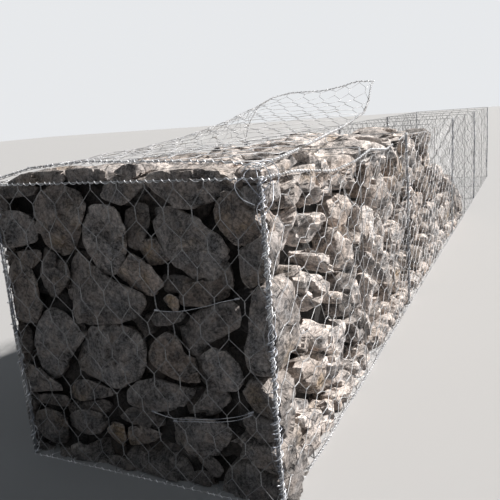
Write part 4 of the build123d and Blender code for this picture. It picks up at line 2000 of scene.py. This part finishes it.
@dataclass
class LooseWires:
    """Bracing ties over the near end and loose ends of lacing at its front top corner.

    Ties are given as (across, up) on the near end, and curls as (along, across, up), all in
    millimetres.
    """

    ties: tuple[Outline, ...] = (
        ((386, 607), (300, 610), (200, 634), (150, 650), (92, 664)),
        ((440, 262), (360, 251), (280, 260), (200, 274), (130, 293), (76, 316)),
        ((362, 240), (280, 252), (200, 264), (130, 282), (82, 306)),
    )
    curls: tuple[tuple[Triple, ...], ...] = (
        ((0, 12, 955), (-12, 30, 985), (10, 55, 1010), (30, 30, 1030), (0, 0, 1018)),
        ((10, 0, 965), (35, -12, 990), (30, 0, 1028), (-5, 25, 1042), (-15, 50, 1020)),
        ((-8, 20, 930), (-16, 55, 950), (-10, 75, 985), (0, 50, 1005)),
        ((0, 4, 900), (22, -14, 925), (50, -10, 950), (75, 0, 985)),
        ((0, 10, 1000), (20, 20, 1035), (60, 0, 1040), (90, -12, 1010), (75, -14, 975)),
    )
    lift: float = 0.0055
    wire: float = 0.0013
    tie_wire: float = 0.0009
    tie_tone: float = 0.2
    knot: Coil = Coil(0.0028, 0.0030, 0.0009, 9, 5, 0.2)
    knot_shift: float = 0.003
    tie_points: int = 40
    curl_points: int = 44
    curl_side: Triple = (0.3, 0.5, 0.81)
    sides: int = 6

    def build(self, material: bpy.types.Material) -> bpy.types.Object:
        """Make the piece with all loose wires."""
        mesh = JoinedMesh()
        for number, tie in enumerate(self.ties):
            points = np.array([WALL.point(-self.lift, *place) for place in metres(tie)])
            line = smooth_path(points, self.tie_points)
            mesh.add(tube(line[None], X_AXIS, self.tie_wire, self.sides), self.tie_tone)
            for end in (line[:3], line[-3:]):
                end = spread_evenly(end, 4) + self.knot_shift * X_AXIS
                mesh.add(self.knot.wind(end, Z_AXIS, 0.0, number), self.tie_tone)
        for curl in self.curls:
            points = np.array([WALL.point(*place) for place in metres(curl)])
            line = smooth_path(points, self.curl_points)
            mesh.add(tube(line[None], unit(np.array(self.curl_side)), self.wire, self.sides))
        return dress(mesh, "ties_and_loose_ends", material, "lacing_wire")


# Studio


@dataclass(frozen=True)
class Lamp:
    """A far lamp: its strength, how wide it looks in degrees, its colour and where it hangs."""

    name: str
    strength: float
    angle: float
    colour: Triple
    towards: Triple


def hang(name: str, data: bpy.types.ID, axes: tuple[Array, Array, Array], at: Triple) -> bpy.types.Object:
    """Put a camera or a lamp into the scene.

    Args:
        name: Its name.
        data: The camera's or the lamp's data.
        axes: The directions to its right, up from it, and behind it.
        at: Its place.

    Returns:
        The new object.
    """
    thing = bpy.data.objects.new(name, data)
    turned = np.eye(4)
    turned[:3] = np.stack([*axes, at], axis=1)
    thing.matrix_world = Matrix(turned.tolist())
    bpy.context.scene.collection.objects.link(thing)
    return thing


@dataclass(frozen=True)
class Studio:
    """Plain pale floor and backdrop, soft light from the front right, and the camera."""

    camera_at: Triple = (-5.4387, -1.1731, 1.1697)
    yaw: float = 26.018
    pitch: float = 12.831
    roll: float = 4.361
    lens: float = 43.2
    sensor: float = 36.0
    sight: float = 200.0
    lights: tuple[Lamp, ...] = (
        Lamp("key_light", 5.7, 2.5, (1.0, 0.965, 0.93), (0.60, -0.60, 0.62)),
        Lamp("sky_light", 0.22, 70.0, (0.82, 0.91, 1.0), (-0.45, -0.10, 1.0)),
    )
    backdrop: Triple = (0.80, 0.815, 0.835)
    fill: Triple = (0.80, 0.90, 1.0)
    fill_strength: float = 0.018
    floor_reach: float = 60.0
    floor_level: float = -0.001
    floor_lit: Triple = (0.16, 0.165, 0.175)
    floor_seen: Triple = (0.55, 0.55, 0.55)
    floor_rough: float = 0.9

    def camera(self) -> None:
        """Set the camera at the photo's viewing angle."""
        yaw, pitch, roll = (math.radians(angle) for angle in (self.yaw, self.pitch, self.roll))
        ahead = around(pitch, around(yaw, X_AXIS, Y_AXIS), -Z_AXIS)
        level = around(yaw, -Y_AXIS, X_AXIS)
        down = np.cross(ahead, level)
        right = around(roll, level, down)
        down = around(roll, down, -level)
        data = bpy.data.cameras.new("camera")
        data.lens = self.lens
        data.sensor_width = self.sensor
        data.clip_end = self.sight
        bpy.context.scene.camera = hang("camera", data, (right, -down, -ahead), self.camera_at)

    def lamps(self) -> None:
        """Hang a key light and a wide soft one overhead; the backdrop fills the rest."""
        for light in self.lights:
            data = bpy.data.lights.new(light.name, "SUN")
            data.energy = light.strength
            data.angle = math.radians(light.angle)
            data.color = light.colour
            back = unit(np.array(light.towards))
            side = unit(np.cross(Z_AXIS, back))
            hang(light.name, data, (side, np.cross(back, side), back), (0.0, 0.0, 0.0))

    def seen(self, shader: Shader) -> Value:
        """1 for rays that show the backdrop itself, straight or in a reflection."""
        labels = ("Is Camera Ray", "Is Glossy Ray", "Is Transmission Ray")
        camera, glossy, through = (shader.node("ShaderNodeLightPath", output=label) for label in labels)
        return shader.maths("MAXIMUM", shader.maths("MAXIMUM", camera, glossy), through)

    def world(self) -> None:
        """A pale backdrop all round, dimmer as a light than it looks."""
        world = bpy.data.worlds.new("studio")
        world.use_nodes = True
        bpy.context.scene.world = world
        shader = Shader("studio", world.node_tree)
        shown, fill = (
            shader.node("ShaderNodeBackground", {"Color": (*colour, 1.0), "Strength": strength})
            for colour, strength in ((self.backdrop, 1.0), (self.fill, self.fill_strength))
        )
        mixed = shader.node("ShaderNodeMixShader", {0: self.seen(shader), 1: fill, 2: shown})
        shader.close(mixed, "ShaderNodeOutputWorld")

    def floor(self) -> None:
        """Lay a plain pale floor."""
        mesh = bpy.data.meshes.new("floor")
        signs = ((-1, -1), (1, -1), (1, 1), (-1, 1))
        corners = [(x * self.floor_reach, y * self.floor_reach, self.floor_level) for x, y in signs]
        mesh.from_pydata(corners, [], [(0, 1, 2, 3)])
        shader = Shader("floor")
        colour = shader.blend(self.seen(shader), self.floor_lit, self.floor_seen)
        mesh.materials.append(shader.surface(Base_Color=colour, Roughness=self.floor_rough))
        floor = bpy.data.objects.new("floor", mesh)
        bpy.context.scene.collection.objects.link(floor)

    def build(self) -> None:
        """Set up the whole studio."""
        bpy.context.scene.view_settings.view_transform = "Standard"
        self.camera()
        self.lamps()
        self.world()
        self.floor()


def main() -> None:
    """Dress the whole wall and set up the studio."""
    logging.basicConfig(level=logging.INFO, format="%(message)s")
    Studio().build()
    stone = BrokenStone().material()
    netting, lacing = NETTING_WIRE.material(), LACING_WIRE.material()
    pieces = Fill(stone).build()
    pieces += Baskets(netting).build()
    for number in range(1, WALL.baskets + 2):
        for face in ("front", "back"):
            edge = LacedEdge(f"laced_edge_{number}_{face}", number == 1 and face == "front")
            pieces.append(edge.build(lacing))
    pieces.append(LooseWires().build(lacing))
    log.info("%d pieces, %d triangles", len(pieces), sum(count_triangles(piece) for piece in pieces))


if __name__ == "__main__":
    main()
